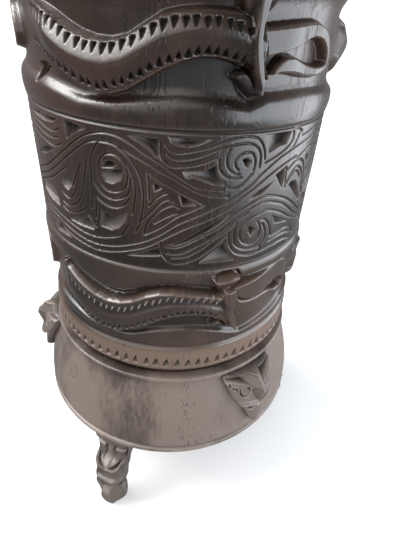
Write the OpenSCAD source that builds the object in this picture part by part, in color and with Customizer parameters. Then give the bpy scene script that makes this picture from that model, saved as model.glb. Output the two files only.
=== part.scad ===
// Footed vessel of dark hardwood, carved in relief: hollow body, domed base on a plate,
// three figure legs and three masks. Millimetres, +Z up, z = 0 where the legs stand.

/* [Body] */
// Outer radius of the carved cylinder
body_radius = 80; // [74:1:88]
// Wall of the hollow body
wall = 12; // [10:1:16]
// How far the mouth flares beyond the cylinder
mouth_flare = 24; // [22:1:26]
// How far the snakes stand out of the body
snake_relief = 6; // [4:0.5:7]
// Depth of the cuts in the scroll band
cut_depth = 1.6; // [1:0.1:2.4]
// Small triangular notches round the foot of the body
notch_count = 84; // [60:2:90]

/* [Base] */
// How far the plate reaches beyond the cylinder
plate_reach = 13.3; // [12:0.1:15]
// Thickness of the plate's visible edge
plate_edge = 4.9; // [4:0.1:6]
// Height of the domed base above the plate
dome_height = 54.7; // [52:0.1:57]
// Height of the legs below the plate
leg_height = 70; // [60:1:80]
// Width of a leg where it meets the plate
leg_width = 26; // [24:0.5:28]

/* [Hidden] */
$fn = 96;
R = body_radius;
plate_radius = R + plate_reach;
dome_foot = leg_height + plate_edge;
lip_top = dome_foot + dome_height;
// heights on the body are measured from the top line of the scroll band, in body radii
top_line = lip_top + 1.8 * R;
mouth_radius = R + mouth_flare;
mouth_top = top_line + 1.06 * R;
body_foot = lip_top - 11;
bore_radius = R - wall;
floor_top = lip_top + 6;
spigot_radius = 0.93 * R;
leg_turns = [-21, 99, 219];
mask_turns = [36, 156, 276];
peg_radius = 4;
tenon_radius = 8;
wood = [0.16, 0.12, 0.11];
pale_wood = [0.30, 0.25, 0.23];

function at(z) = top_line + z * R;

// turns a shape drawn on the XZ plane so that it faces outward at the given angle
module facing(turn, height = 0) {
  rotate([0, 0, turn]) translate([0, 0, height]) rotate([90, 0, 0]) children();
}

// ---- the carved body ----

outer_line = [
  [spigot_radius, body_foot], [spigot_radius, lip_top - 1.5], [0.955 * R, lip_top - 0.5],
  [0.965 * R, at(-1.775)], [0.985 * R, at(-1.745)], [1.012 * R, at(-1.72)],
  [1.016 * R, at(-1.66)], [1.012 * R, at(-1.55)], [0.99 * R, at(-1.52)],
  [0.975 * R, at(-1.436)], [0.975 * R, at(-1.209)], [0.98 * R, at(-1.074)],
  [1.005 * R, at(-1.01)], [1.026 * R, at(-0.95)], [1.026 * R, at(-0.905)],
  [1.01 * R, at(-0.86)], [1.0 * R, at(-0.837)], [1.0 * R, at(0)], [1.01 * R, at(0.02)],
  [1.03 * R, at(0.07)], [1.03 * R, at(0.11)], [1.01 * R, at(0.16)], [0.98 * R, at(0.226)],
  [0.975 * R, at(0.344)], [0.985 * R, at(0.463)], [1.01 * R, at(0.565)], [1.06 * R, at(0.682)],
  [R + 0.56 * mouth_flare, at(0.82)], [R + 0.84 * mouth_flare, at(0.93)],
  [mouth_radius, at(0.99)], [mouth_radius, at(1.03)], [mouth_radius - 2, mouth_top]
];

inner_line = [
  [mouth_radius - 7, mouth_top], [mouth_radius - 11, at(1.0)], [bore_radius + 12, at(0.84)],
  [bore_radius + 4, at(0.66)], [bore_radius, at(0.5)], [bore_radius, floor_top],
  [bore_radius - 6, floor_top], [bore_radius - 6, body_foot]
];

// edges of the two snakes, by angle: [angle, lower edge, upper edge], in body radii from
// a line one body radius below (lower snake) or 0.55 above (upper snake) the band's top line
lower_snake = [
  [-58, -0.32, -0.06], [-45, -0.34, -0.03], [-34, -0.40, -0.09], [-25, -0.43, -0.125],
  [-16, -0.37, -0.09], [-7, -0.28, 0.0], [2, -0.21, 0.015], [11, -0.205, -0.016], [20, -0.31, -0.04]
];
upper_snake = [
  [-58, -0.26, -0.02], [-45, -0.285, -0.04], [-34, -0.37, -0.11], [-25, -0.415, -0.155],
  [-16, -0.395, -0.14], [-7, -0.31, -0.06], [2, -0.235, -0.015], [11, -0.22, -0.015],
  [20, -0.26, -0.025]
];
lower_jaws = [
  [[24, -0.12, 0.02], [34, -0.14, 0.02], [45, -0.12, 0.015], [56, -0.15, -0.03]],
  [[26, -0.24, -0.14], [36, -0.27, -0.16], [46, -0.315, -0.2], [56, -0.28, -0.22]]
];
upper_jaws = [
  [[21, -0.2, -0.08], [34, -0.15, -0.06], [45, -0.12, -0.05], [54, -0.15, -0.1]],
  [[26, -0.285, -0.25], [34, -0.28, -0.21], [45, -0.31, -0.255], [55, -0.295, -0.25]]
];

// one straight facet of a band that runs round the body between two angles
module facet(a, b, low, high, reach, base) {
  half = (b[0] - a[0]) / 2;
  w = reach * tan(half) + 0.3;
  rotate([0, 0, (a[0] + b[0]) / 2]) rotate([90, 0, 0]) translate([0, 0, 0.9 * R])
    linear_extrude(reach - 0.9 * R)
      polygon([
        [-w, base + low[0] * R], [w, base + low[1] * R],
        [w, base + high[0] * R], [-w, base + high[1] * R]
      ]);
}

module band(line, reach, base, trim) {
  for (i = [0 : len(line) - 2]) {
    a = line[i];
    b = line[i + 1];
    facet(a, b, [a[1] + trim, b[1] + trim], [b[2] - trim, a[2] - trim], reach, base);
  }
}

// line and jaws are the edges above; curl joins the two jaws at the far end of the mouth
module snake(base, line, jaws, curl) {
  band(line, R + 0.45 * snake_relief, base, 0);
  band(line, R + snake_relief, base, 0.06);
  for (jaw = jaws) band(jaw, R + snake_relief, base, 0);
  facet([53, 0, 0], [58, 0, 0], [curl[0], curl[0] + 0.03], [curl[1], curl[1] - 0.05],
    R + snake_relief, base);
  // the head's upright wedge, its spur and its eye cup
  rotate([0, 0, 22]) rotate([90, 0, 0]) translate([0, base, 0.9 * R])
    linear_extrude(0.1 * R + 1.35 * snake_relief)
      polygon([
        [-0.055 * R, -0.02 * R], [-0.035 * R, -0.22 * R], [0.02 * R, -0.38 * R],
        [0.055 * R, -0.36 * R], [0.03 * R, -0.2 * R], [0.05 * R, 0.03 * R]
      ]);
  rotate([0, 0, 17]) rotate([90, 0, 0]) translate([0, base, 0.9 * R])
    linear_extrude(0.1 * R + 0.8 * snake_relief)
      polygon([[-0.05 * R, -0.31 * R], [0.02 * R, -0.27 * R], [0.12 * R, -0.385 * R]]);
  rotate([0, 0, 21]) rotate([90, 0, 0]) translate([0, base + 0.03 * R, 0.9 * R])
    difference() {
      cylinder(r = 0.095 * R, h = 0.1 * R + snake_relief, $fn = 32);
      translate([0, 0.02 * R, 0.1 * R + 0.3 * snake_relief])
        cylinder(r = 0.06 * R, h = snake_relief, $fn = 32);
    }
}

// a round groove cut into the scroll band
module ring_cut(turn, z, r, width = 0.9) {
  rotate([0, 0, turn]) translate([0, 0, at(z)]) rotate([90, 0, 0])
    translate([0, 0, R - cut_depth - 0.2])
      difference() {
        cylinder(r = r * R + width / 2, h = 8, $fn = 32);
        translate([0, 0, -1]) cylinder(r = r * R - width / 2, h = 10, $fn = 32);
      }
}

module pit_cut(turn, z, r) {
  rotate([0, 0, turn]) translate([0, 0, at(z)]) rotate([90, 0, 0])
    translate([0, 0, R - 1.6 * cut_depth]) cylinder(r = r * R, h = 10, $fn = 24);
}

// a three-cornered pocket; corners are [sideways, up] in body radii from its own centre
module pocket(turn, z, corners) {
  rotate([0, 0, turn]) translate([0, 0, at(z)]) rotate([90, 0, 0])
    translate([0, 0, R - 1.3 * cut_depth])
      linear_extrude(10) polygon([for (c = corners) [c[0] * R, c[1] * R]]);
}

// a narrow groove from one [angle, height] to the next
module groove(points, width = 1.1) {
  for (i = [0 : len(points) - 2]) {
    a = points[i];
    b = points[i + 1];
    mid = (a[0] + b[0]) / 2;
    run = R * (b[0] - a[0]) * 3.14159 / 180;
    rise = (b[1] - a[1]) * R;
    rotate([0, 0, mid]) translate([0, 0, at((a[1] + b[1]) / 2)]) rotate([90, 0, 0])
      rotate([0, 0, atan2(rise, run)])
        translate([-norm([run, rise]) / 2 - 0.3, -width / 2, R - cut_depth - 0.6])
          cube([norm([run, rise]) + 0.6, width, 8]);
  }
}

module scroll_unit() {
  // rising and falling ribbon over the eyes
  groove([[-60, -0.39], [-50, -0.32], [-40, -0.22], [-31, -0.1], [-21.5, -0.045],
          [-12, -0.1], [-1, -0.22], [8, -0.3], [17, -0.36]]);
  // long ribbon that dips under them and climbs to the right
  groove([[-60, -0.6], [-50, -0.63], [-40, -0.68], [-30, -0.69], [-20, -0.66], [-10, -0.59],
          [0, -0.51], [10, -0.44], [20, -0.37], [30, -0.22], [42, -0.12], [60, -0.07]]);
  groove([[-60, -0.52], [-50, -0.56], [-40, -0.61], [-30, -0.63], [-20, -0.6], [-10, -0.53],
          [0, -0.45], [10, -0.38]]);
  groove([[22, -0.46], [31, -0.39], [43, -0.46], [60, -0.6]]);
  // eye between the ribbons and the leaf beside it
  ring_cut(-20, -0.27, 0.115);
  pit_cut(-20, -0.27, 0.065);
  ring_cut(-39, -0.42, 0.1);
  pit_cut(-39, -0.4, 0.05);
  // the two spirals
  ring_cut(21.5, -0.17, 0.12);
  ring_cut(21.5, -0.17, 0.075);
  pit_cut(21.5, -0.17, 0.035);
  ring_cut(28, -0.61, 0.12);
  ring_cut(28, -0.61, 0.075);
  pit_cut(28, -0.61, 0.035);
  pocket(-50, -0.05, [[-0.14, 0.02], [0.14, 0.02], [0.1, -0.03], [-0.14, -0.01]]);
  pocket(-33, -0.07, [[-0.07, 0.04], [0.08, 0.04], [-0.05, -0.05]]);
  pocket(-10, -0.07, [[-0.09, 0.04], [0.05, 0.03], [0.07, -0.07]]);
  pocket(-7, -0.3, [[-0.03, 0.06], [0.05, -0.01], [-0.03, -0.07]]);
  pocket(0, -0.42, [[-0.12, -0.1], [0.1, 0.04], [-0.06, 0.1]]);
  pocket(9, -0.22, [[-0.12, 0.03], [0.1, -0.05], [0.1, 0.03]]);
  pocket(33, -0.07, [[-0.09, 0.05], [0.1, 0.05], [0.0, -0.04]]);
  pocket(37, -0.3, [[-0.04, 0.0], [0.05, 0.07], [0.03, -0.08]]);
  pocket(47, -0.36, [[-0.06, 0.1], [0.02, 0.1], [0.09, -0.12]]);
  pocket(53, -0.22, [[-0.05, 0.02], [0.05, 0.04], [0.0, -0.03]]);
  pocket(-36, -0.62, [[-0.1, -0.03], [0.12, -0.02], [0.1, 0.03]]);
  pocket(-21, -0.55, [[-0.09, -0.05], [0.09, 0.04], [0.0, 0.05]]);
  pocket(16, -0.73, [[-0.1, -0.05], [0.08, -0.05], [0.0, 0.06]]);
  pocket(42, -0.58, [[-0.07, 0.05], [0.09, -0.05], [-0.03, -0.05]]);
}

module body() color(wood)
  difference() {
    union() {
      rotate_extrude() polygon(concat([[0, body_foot]], outer_line, [[0, mouth_top]]));
      for (turn = [0, 120, 240]) rotate([0, 0, turn]) {
        snake(at(-1), lower_snake, lower_jaws, [-0.29, -0.06]);
        snake(at(0.55), upper_snake, upper_jaws, [-0.3, -0.1]);
      }
    }
    rotate_extrude() polygon(concat([[0, mouth_top + 1]], [[mouth_radius - 7, mouth_top + 1]],
      inner_line, [[bore_radius - 6, body_foot - 1], [0, body_foot - 1]]));
    // border lines of the scroll band
    for (z = [at(0), at(-0.837)]) rotate_extrude()
      polygon([[R - 0.9, z], [R + 2, z + 1.2], [R + 2, z - 1.2]]);
    for (turn = [0, 120, 240]) rotate([0, 0, turn]) scroll_unit();
    for (i = [0 : notch_count - 1])
      facing(i * 360 / notch_count, at(-1.66)) translate([0, 0, R - 1])
        linear_extrude(5) polygon([
          [-0.025 * R, -0.03 * R], [0.025 * R, -0.03 * R], [0.004 * R, 0.075 * R]
        ]);
  }

module floor_disc() color(wood)
  translate([0, 0, floor_top]) cylinder(r = bore_radius - 0.05, h = 6);

// ---- the domed base ----

dome_line = [
  [plate_radius, dome_foot], [plate_radius, dome_foot + 3], [1.150 * R, dome_foot + 11],
  [1.132 * R, dome_foot + 19], [1.108 * R, dome_foot + 27], [1.080 * R, dome_foot + 35],
  [1.052 * R, dome_foot + 42], [1.024 * R, dome_foot + 48], [1.022 * R, dome_foot + 50],
  [1.040 * R, dome_foot + 51], [1.040 * R, lip_top - 1.5], [1.026 * R, lip_top],
  [spigot_radius + 2, lip_top], [spigot_radius + 0.05, lip_top - 1.5]
];

module dome_solid() {
  rotate_extrude() polygon(concat([[0, dome_foot]], dome_line, [[0, lip_top - 1.5]]));
}

module dome() color(pale_wood)
  difference() {
    dome_solid();
    translate([0, 0, body_foot]) cylinder(r = spigot_radius + 0.05, h = 40);
    // hollow under the shelf that the body stands on
    rotate_extrude() polygon([
      [0, dome_foot - 1], [plate_radius - 8, dome_foot - 1], [plate_radius - 8, dome_foot + 8],
      [R - 14, body_foot - 10], [R - 22, body_foot - 10], [R - 22, body_foot + 1],
      [0, body_foot + 1]
    ]);
    for (turn = mask_turns) facing(turn, mask_height())
      translate([0, 0, R - 30]) cylinder(r = peg_radius + 0.05, h = 60, $fn = 48);
  }

module base_plate() color(pale_wood)
  difference() {
    union() {
      translate([0, 0, leg_height]) cylinder(r = plate_radius, h = plate_edge);
      translate([0, 0, dome_foot]) cylinder(r = plate_radius - 8.1, h = 7);
    }
    for (turn = leg_turns) rotate([0, 0, turn])
      translate([0, 0.055 * R - plate_radius + 10, leg_height - 1])
        cylinder(r = tenon_radius + 0.05, h = plate_edge + 9, $fn = 48);
  }

// ---- the legs ----

// a leg stands under the plate's edge and carries a long face over a faceted foot
module leg(turn) color(pale_wood) {
  h = leg_height;
  w = leg_width / 2;
  rotate([0, 0, turn]) translate([0, -plate_radius, 0]) difference() {
    union() {
      // neck under the plate, flush with its edge
      hull() {
        translate([-w, 0.6, h - 3]) cube([2 * w, 25, 3]);
        translate([-w * 0.86, -1.5, h * 0.66]) cube([w * 1.72, 23, 1]);
      }
      // the face narrows down to the chin
      hull() {
        translate([-w * 0.86, -1.5, h * 0.66]) cube([w * 1.72, 23, 1]);
        translate([-w * 0.7, -3, h * 0.42]) cube([w * 1.4, 20, 1]);
      }
      // collar under the chin
      hull() {
        translate([0, 6, h * 0.38]) cylinder(r = w * 0.92, h = 3, $fn = 24);
        translate([0, 7, h * 0.30]) cylinder(r = w * 0.7, h = 1, $fn = 24);
      }
      hull() {
        translate([-w * 0.7, -3, h * 0.42]) cube([w * 1.4, 20, 1]);
        translate([0, 6, h * 0.38]) cylinder(r = w * 0.92, h = 1, $fn = 24);
      }
      // faceted foot
      hull() {
        translate([-w * 0.72, -1, h * 0.26]) cube([w * 1.44, 17, 3.2]);
        translate([-w * 0.95, 2, h * 0.17]) cube([w * 1.9, 10, 1]);
        translate([-w * 0.35, -4, 0]) cube([w * 0.7, 10, 1]);
        translate([-1, -5, h * 0.15]) cube([2, 4, 1]);
      }
      translate([0, 0.055 * R + 10, h - 2]) cylinder(r = tenon_radius, h = plate_edge + 7, $fn = 48);
      // nose ridge
      hull() {
        translate([-2, -5, h * 0.48]) cube([4, 8, 2]);
        translate([-1.5, -2, h * 0.82]) cube([3, 6, 2]);
      }
    }
    // brow slots, each over an eyelid, and the mouth
    for (side = [-1, 1]) {
      translate([side * w * 0.52, -2, h * 0.78]) rotate([0, side * 12, 0])
        cube([w * 0.5, 8, 3], center = true);
      translate([side * w * 0.3, -2.5, h * 0.68]) cube([1.6, 6, 9], center = true);
    }
    translate([0, -3, h * 0.44]) cube([w * 0.9, 7, 3.4], center = true);
  }
}

module leg_front() leg(leg_turns[0]);

module leg_right() leg(leg_turns[1]);

module leg_left() leg(leg_turns[2]);

// ---- the masks on the dome ----

function mask_height() = dome_foot + 32;

// three-cornered face, point down, with a pyramid snout and ringed eyes
module mask(turn) color(pale_wood)
  difference() {
    union() {
      facing(turn, mask_height()) {
        hull() {
          translate([0, 16, R - 2]) linear_extrude(1) square([43, 7], center = true);
          translate([0, -22, R + 4]) linear_extrude(1) square([7, 3], center = true);
          translate([0, 12, R + 8]) linear_extrude(1) square([32, 8], center = true);
          translate([0, -20, R + 11]) linear_extrude(1) square([4, 3], center = true);
        }
        hull() {
          translate([0, 4, R + 4]) linear_extrude(1) square([20, 22], center = true);
          translate([0, 7, R + 18]) linear_extrude(0.5) square([7, 2], center = true);
        }
        translate([0, 0, R - 8]) cylinder(r = peg_radius, h = 12, $fn = 48);
      }
    }
    difference() {
      dome_solid();
      facing(turn, mask_height()) translate([0, 0, R - 20])
        cylinder(r = peg_radius + 0.01, h = 40, $fn = 48);
    }
    for (side = [-1, 1]) facing(turn, mask_height())
      translate([side * 13, 9, R + 6.5]) difference() {
        cylinder(r = 4.2, h = 8, $fn = 32);
        translate([0, 0, -1]) cylinder(r = 3, h = 10, $fn = 32);
      }
    // hollows over the chin
    for (side = [-1, 1]) facing(turn, mask_height())
      translate([side * 5, -12, R + 8]) linear_extrude(9) polygon([
        [-3, 2], [3, 2.5], [1.5 * side, -3]
      ]);
  }

module mask_right() mask(mask_turns[0]);

module mask_back() mask(mask_turns[1]);

module mask_left() mask(mask_turns[2]);

body();
floor_disc();
dome();
base_plate();
leg_front();
leg_right();
leg_left();
mask_right();
mask_back();
mask_left();
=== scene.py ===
import math

import bpy
import numpy as np
from mathutils import Matrix, Vector


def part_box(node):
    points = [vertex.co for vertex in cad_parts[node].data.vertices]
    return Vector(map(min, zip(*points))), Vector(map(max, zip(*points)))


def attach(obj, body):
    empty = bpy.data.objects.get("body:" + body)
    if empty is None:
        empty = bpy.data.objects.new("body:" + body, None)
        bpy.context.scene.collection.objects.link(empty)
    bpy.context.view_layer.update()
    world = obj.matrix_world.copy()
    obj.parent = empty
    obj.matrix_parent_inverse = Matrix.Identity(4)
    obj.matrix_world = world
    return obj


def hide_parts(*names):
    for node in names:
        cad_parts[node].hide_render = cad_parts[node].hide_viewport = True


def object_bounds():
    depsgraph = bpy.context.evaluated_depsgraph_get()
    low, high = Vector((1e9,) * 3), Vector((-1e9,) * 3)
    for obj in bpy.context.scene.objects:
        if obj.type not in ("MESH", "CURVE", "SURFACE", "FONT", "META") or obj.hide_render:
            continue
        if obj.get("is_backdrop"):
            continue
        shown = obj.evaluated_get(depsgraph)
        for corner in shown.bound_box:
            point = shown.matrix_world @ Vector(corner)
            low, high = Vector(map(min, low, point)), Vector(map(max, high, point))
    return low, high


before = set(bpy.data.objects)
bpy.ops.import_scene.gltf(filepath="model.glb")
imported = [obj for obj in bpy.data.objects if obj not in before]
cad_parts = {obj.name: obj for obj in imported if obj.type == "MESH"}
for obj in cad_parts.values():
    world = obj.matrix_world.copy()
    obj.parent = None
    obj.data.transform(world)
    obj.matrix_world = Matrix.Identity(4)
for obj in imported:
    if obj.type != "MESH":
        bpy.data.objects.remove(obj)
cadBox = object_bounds()
print("frame loaded")

# Lengths below are in body radii unless a name says otherwise. Heights are counted so that
# the scroll band's upper line is at 1. Angles are degrees round the body, 0 at the front (-Y).
bodyLow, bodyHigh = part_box("body")
plateLow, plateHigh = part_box("base_plate")
mouthAcross, mouthRise = 2.6, 1.06  # the flared mouth, and its edge over the scroll band's upper line
radius = (bodyHigh.x - bodyLow.x) / mouthAcross
topLine = bodyHigh.z - mouthRise * radius
mm = 0.001 / radius  # a millimetre in body radii
third = 120  # the carving repeats after this many degrees


def levelOf(height):
    return topLine + (height - 1) * radius


def heightOf(level):
    return (level - topLine) / radius + 1


cameraView = {"back": 3.02, "height": 1.57, "pitch": 34.1, "yaw": 4.5, "roll": 4.4, "lens": 27.0}
studio = {
    "sky": (0.95, 0.97, 1.0), "skyPower": 0.36,
    # the floor is flat to its first size and rises gently to its second, past the horizon
    "floorColour": (0.72, 0.72, 0.72), "floorFlat": 8.0, "floorSize": 60.0, "floorRise": 1.6,
    "floorRoughness": 0.9,
    # soft suns: where the light comes from, strength, width in degrees, colour; the sheen only polishes
    "suns": {
        "window": ((-0.66, 0.05, 0.80), 4.4, 34, (1.0, 0.99, 0.97)),
        "sheen": ((-0.66, -0.05, 0.78), 4.2, 62, (0.95, 0.98, 1.0)),
        "room": ((-0.42, -0.72, 0.55), 2.5, 75, (1.0, 0.965, 0.93)),
    },
    # a tall pale panel close on the right: turn, distance, size and height in metres, power
    "panel": {"turn": 74, "distance": 0.56, "wide": 0.85, "tall": 0.46, "height": 0.25, "power": 7.5,
              "colour": (0.87, 0.93, 1.0)},
}


def setCamera(view):
    pitch, yaw, roll = (math.radians(view[k]) for k in ("pitch", "yaw", "roll"))
    level = math.cos(pitch)
    ahead = Vector((math.sin(yaw) * level, math.cos(yaw) * level, -math.sin(pitch)))
    right = Vector((math.cos(yaw), -math.sin(yaw), 0))
    up = right.cross(ahead)
    side = math.cos(roll) * right + math.sin(roll) * up
    top = math.cos(roll) * up - math.sin(roll) * right
    camera = bpy.data.objects.new("camera", bpy.data.cameras.new("camera"))
    camera.data.lens = view["lens"]
    camera.data.clip_start = 0.01
    turn = Matrix((side, top, -ahead)).transposed().to_4x4()
    place = Vector((0, -view["back"] * radius, levelOf(view["height"])))
    camera.matrix_world = Matrix.Translation(place) @ turn
    bpy.context.scene.collection.objects.link(camera)
    bpy.context.scene.camera = camera


def addLamp(name, lamp, place, target):
    holder = bpy.data.objects.new(name, lamp)
    holder.location = place
    holder.rotation_euler = (target - place).to_track_quat("-Z", "Y").to_euler()
    holder.visible_camera = False
    bpy.context.scene.collection.objects.link(holder)
    return holder


def setStudio(look):
    world = bpy.data.worlds.new("sky")
    world.use_nodes = True
    sky = world.node_tree.nodes["Background"]
    sky.inputs["Color"].default_value = (*look["sky"], 1)
    sky.inputs["Strength"].default_value = look["skyPower"]
    bpy.context.scene.world = world
    bpy.context.scene.view_settings.view_transform = "Standard"
    for name, (place, power, width, colour) in look["suns"].items():
        sun = bpy.data.lights.new(name, "SUN")
        sun.energy = power
        sun.angle = math.radians(width)
        sun.color = colour
        addLamp(name, sun, Vector(place), Vector((0, 0, 0))).visible_diffuse = name != "sheen"
    panel = look["panel"]
    sheet = bpy.data.lights.new("panel", "AREA")
    sheet.shape = "RECTANGLE"
    sheet.size, sheet.size_y = panel["wide"], panel["tall"]
    sheet.energy = panel["power"]
    sheet.color = panel["colour"]
    turn = math.radians(panel["turn"])
    target = Vector((0, 0, panel["height"]))
    place = Vector((math.sin(turn), -math.cos(turn), 0)) * panel["distance"] + target
    addLamp("panel", sheet, place, target)
    corners = ((-1, -1), (1, -1), (1, 1), (-1, 1))
    flat, wide = look["floorFlat"] / 2, look["floorSize"] / 2
    points = [(flat * a, flat * b, 0) for a, b in corners]
    points += [(wide * a, wide * b, look["floorRise"]) for a, b in corners]
    quads = [(0, 1, 2, 3)] + [(k, k + 4, (k + 1) % 4 + 4, (k + 1) % 4) for k in range(4)]
    floorMesh = bpy.data.meshes.new("studioFloor")
    floorMesh.from_pydata(points, [], quads)
    floor = bpy.data.objects.new("studioFloor", floorMesh)
    bpy.context.scene.collection.objects.link(floor)
    paint = bpy.data.materials.new("floorPaint")
    paint.use_nodes = True
    shader = paint.node_tree.nodes["Principled BSDF"]
    shader.inputs["Base Color"].default_value = (*look["floorColour"], 1)
    shader.inputs["Roughness"].default_value = look["floorRoughness"]
    floorMesh.materials.append(paint)
    floor.visible_glossy = False  # a matt floor leaves the polish dark between the lights
    floor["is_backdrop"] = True


setCamera(cameraView)
setStudio(studio)
print("camera, lights and floor")


def makeNode(tree, kind, settings, sockets):
    node = tree.nodes.new(kind)
    for name, value in settings.items():
        if name == "stops":
            ramp = node.color_ramp.elements
            for k, (place, colour) in enumerate(value):
                stop = ramp[k] if k < len(ramp) else ramp.new(place)
                stop.position = place
                stop.color = (*colour, 1)
        else:
            setattr(node, name, value)
    for name, value in sockets.items():
        if isinstance(value, Wire):
            tree.links.new(value.socket, node.inputs[name])
        else:
            node.inputs[name].default_value = value
    return node


class Wire:
    def __init__(self, tree, socket):
        self.tree = tree
        self.socket = socket

    def through(self, operation, first, second):
        node = makeNode(self.tree, "ShaderNodeMath", {"operation": operation}, {0: first, 1: second})
        return Wire(self.tree, node.outputs[0])

    def __add__(self, other):
        return self.through("ADD", self, other)

    def __radd__(self, other):
        return self.through("ADD", other, self)

    def __sub__(self, other):
        return self.through("SUBTRACT", self, other)

    def __rsub__(self, other):
        return self.through("SUBTRACT", other, self)

    def __mul__(self, other):
        return self.through("MULTIPLY", self, other)

    def __rmul__(self, other):
        return self.through("MULTIPLY", other, self)

    def clamped(self, low, high):
        settings = {"interpolation_type": "SMOOTHSTEP"}
        sockets = {"Value": self, "From Min": low, "From Max": high, "To Min": 0.0, "To Max": 1.0}
        node = makeNode(self.tree, "ShaderNodeMapRange", settings, sockets)
        return Wire(self.tree, node.outputs["Result"])


bodyWood = {
    "dark": (0.0065, 0.0042, 0.0033), "warm": (0.031, 0.0165, 0.0115), "edge": (0.13, 0.090, 0.068),
    "poreAndShade": (0.002, 0.0015, 0.0015), "bareAndShade": (0.070, 0.059, 0.052), "gloss": 0.26, "roughest": 0.44,
    "poreDepth": 1.5, "poreAmount": 0.85, "blotch": 11.0, "patch": (0.43, 0.68), "shine": 0.48,
    "slitHighlight": (0.34, 0.30, 0.27),
}
# the dark bare colours of the dome and leg woods are the painted shade of masks and legs
domeWood = {
    "dark": (0.030, 0.022, 0.018), "warm": (0.122, 0.096, 0.081), "edge": (0.21, 0.17, 0.145),
    "poreAndShade": (0.02, 0.014, 0.011), "bareAndShade": (0.012, 0.009, 0.0075), "gloss": 0.30, "roughest": 0.62,
    "poreDepth": 0.6, "poreAmount": 0.8, "blotch": 12.0, "patch": (0.43, 0.62), "shine": 0.42,
    "slitHighlight": (0.2, 0.16, 0.13),
}
legWood = {
    "dark": (0.034, 0.026, 0.021), "warm": (0.082, 0.064, 0.053), "edge": (0.19, 0.16, 0.14),
    "poreAndShade": (0.02, 0.015, 0.012), "bareAndShade": (0.010, 0.0075, 0.006), "gloss": 0.36, "roughest": 0.6,
    "poreDepth": 0.3, "poreAmount": 0.4, "blotch": 30.0, "patch": (0.40, 0.66), "shine": 0.4,
    "slitHighlight": (0.2, 0.16, 0.13),
}
maskWood = dict(domeWood, dark=(0.018, 0.013, 0.011), warm=(0.088, 0.070, 0.060))
plateWood = dict(legWood, dark=(0.070, 0.054, 0.045), warm=(0.15, 0.12, 0.10))


# noise scales across and along the grain, shared by every wood, and what each adds
woodGrain = {
    "streak": (520, 520, 12), "pores": (1300, 1300, 70), "poreZone": (38, 38, 14), "poreEdges": (0.76, 0.86),
    "fine": (60, 60, 30), "skin": (900, 900, 420), "dullEdges": (0.35, 0.7), "dull": 0.55,
    "poreRoughness": 0.25, "bareRoughness": 0.3, "bump": 0.35, "bumpHeight": 0.0006,
}


def makeWood(name, look):
    material = bpy.data.materials.new(name)
    material.use_nodes = True
    tree = material.node_tree
    shader = tree.nodes["Principled BSDF"]

    def node(kind, settings, sockets):
        return makeNode(tree, kind, settings, sockets)

    def wire(made, output):
        return Wire(tree, made.outputs[output])

    def layer(name):
        return wire(node("ShaderNodeAttribute", {"attribute_name": name}, {}), "Fac")

    def grain(stretch, detail, rough=0.5):
        scaled = node("ShaderNodeVectorMath", {"operation": "MULTIPLY"}, {0: place, 1: stretch})
        sockets = {"Vector": wire(scaled, 0), "Scale": 1.0, "Detail": detail, "Roughness": rough}
        return wire(node("ShaderNodeTexNoise", {}, sockets), 0)

    def mixed(factor, first, second):
        settings = {"data_type": "RGBA"}
        made = node("ShaderNodeMix", settings, {})
        for index, value in ((0, factor), (6, first), (7, second)):
            if isinstance(value, Wire):
                tree.links.new(value.socket, made.inputs[index])
            elif index:
                made.inputs[index].default_value = (*value, 1)
            else:
                made.inputs[index].default_value = value
        return Wire(tree, made.outputs[2])

    place = wire(node("ShaderNodeTexCoord", {}, {}), "Object")
    blotch = grain((look["blotch"], look["blotch"], look["blotch"] * 0.6), 3.0, 0.6)
    streak = grain(woodGrain["streak"], 3.0, 0.6)
    pores = grain(woodGrain["pores"], 1.0)
    poreZone = grain(woodGrain["poreZone"], 1.0)
    poreMask = (pores * 0.75 + poreZone * 0.5).clamped(*woodGrain["poreEdges"]) * look["poreAmount"]
    wear, bareAndShade, dirtAndShade, slitHighlight = (layer(name) for name in ("wear", "bareAndShade", "dirtAndShade", "slitHighlight"))
    shade = (blotch * 0.95 + streak * 0.18).clamped(*look["patch"])
    colour = mixed(shade, look["dark"], look["warm"])
    # lighter where rubbed; on the body this also gives the painted glints beside the lines and the painted
    # reflection below the scroll band
    colour = mixed(wear, colour, look["edge"])
    # bare pocket floors on the body; painted shade in the hollows, cuts and holes of masks and legs
    colour = mixed(bareAndShade, colour, look["bareAndShade"])
    # painted highlight on the slits of the lower snake
    colour = mixed(slitHighlight, colour, look["slitHighlight"])
    # painted shade and dirt: grooves, notches, pockets and recesses darkened towards the pore colour
    colour = mixed(dirtAndShade, colour, look["poreAndShade"])
    colour = mixed(poreMask, colour, look["poreAndShade"])
    tree.links.new(colour.socket, shader.inputs["Base Color"])
    fine = grain(woodGrain["fine"], 2.0)
    dull = (fine * 0.6 + blotch * 0.4).clamped(*woodGrain["dullEdges"])
    roughness = look["gloss"] + dull * (look["roughest"] - look["gloss"]) * woodGrain["dull"]
    roughness = roughness + poreMask * woodGrain["poreRoughness"]
    roughness = roughness + (bareAndShade + dirtAndShade) * woodGrain["bareRoughness"]
    tree.links.new(roughness.socket, shader.inputs["Roughness"])
    skin = grain(woodGrain["skin"], 2.0)
    relief = fine * 0.12 + streak * 0.10 + skin * 0.36 - poreMask * look["poreDepth"]
    sockets = {"Strength": woodGrain["bump"], "Distance": woodGrain["bumpHeight"], "Height": relief}
    tree.links.new(node("ShaderNodeBump", {}, sockets).outputs[0], shader.inputs["Normal"])
    shader.inputs["Specular IOR Level"].default_value = look["shine"]
    return material


woods = {"body": makeWood("darkWood", bodyWood), "dome": makeWood("baseWood", domeWood),
         "leg": makeWood("legWood", legWood), "mask": makeWood("maskWood", maskWood),
         "plate": makeWood("plateWood", plateWood)}
print("woods")


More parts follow.
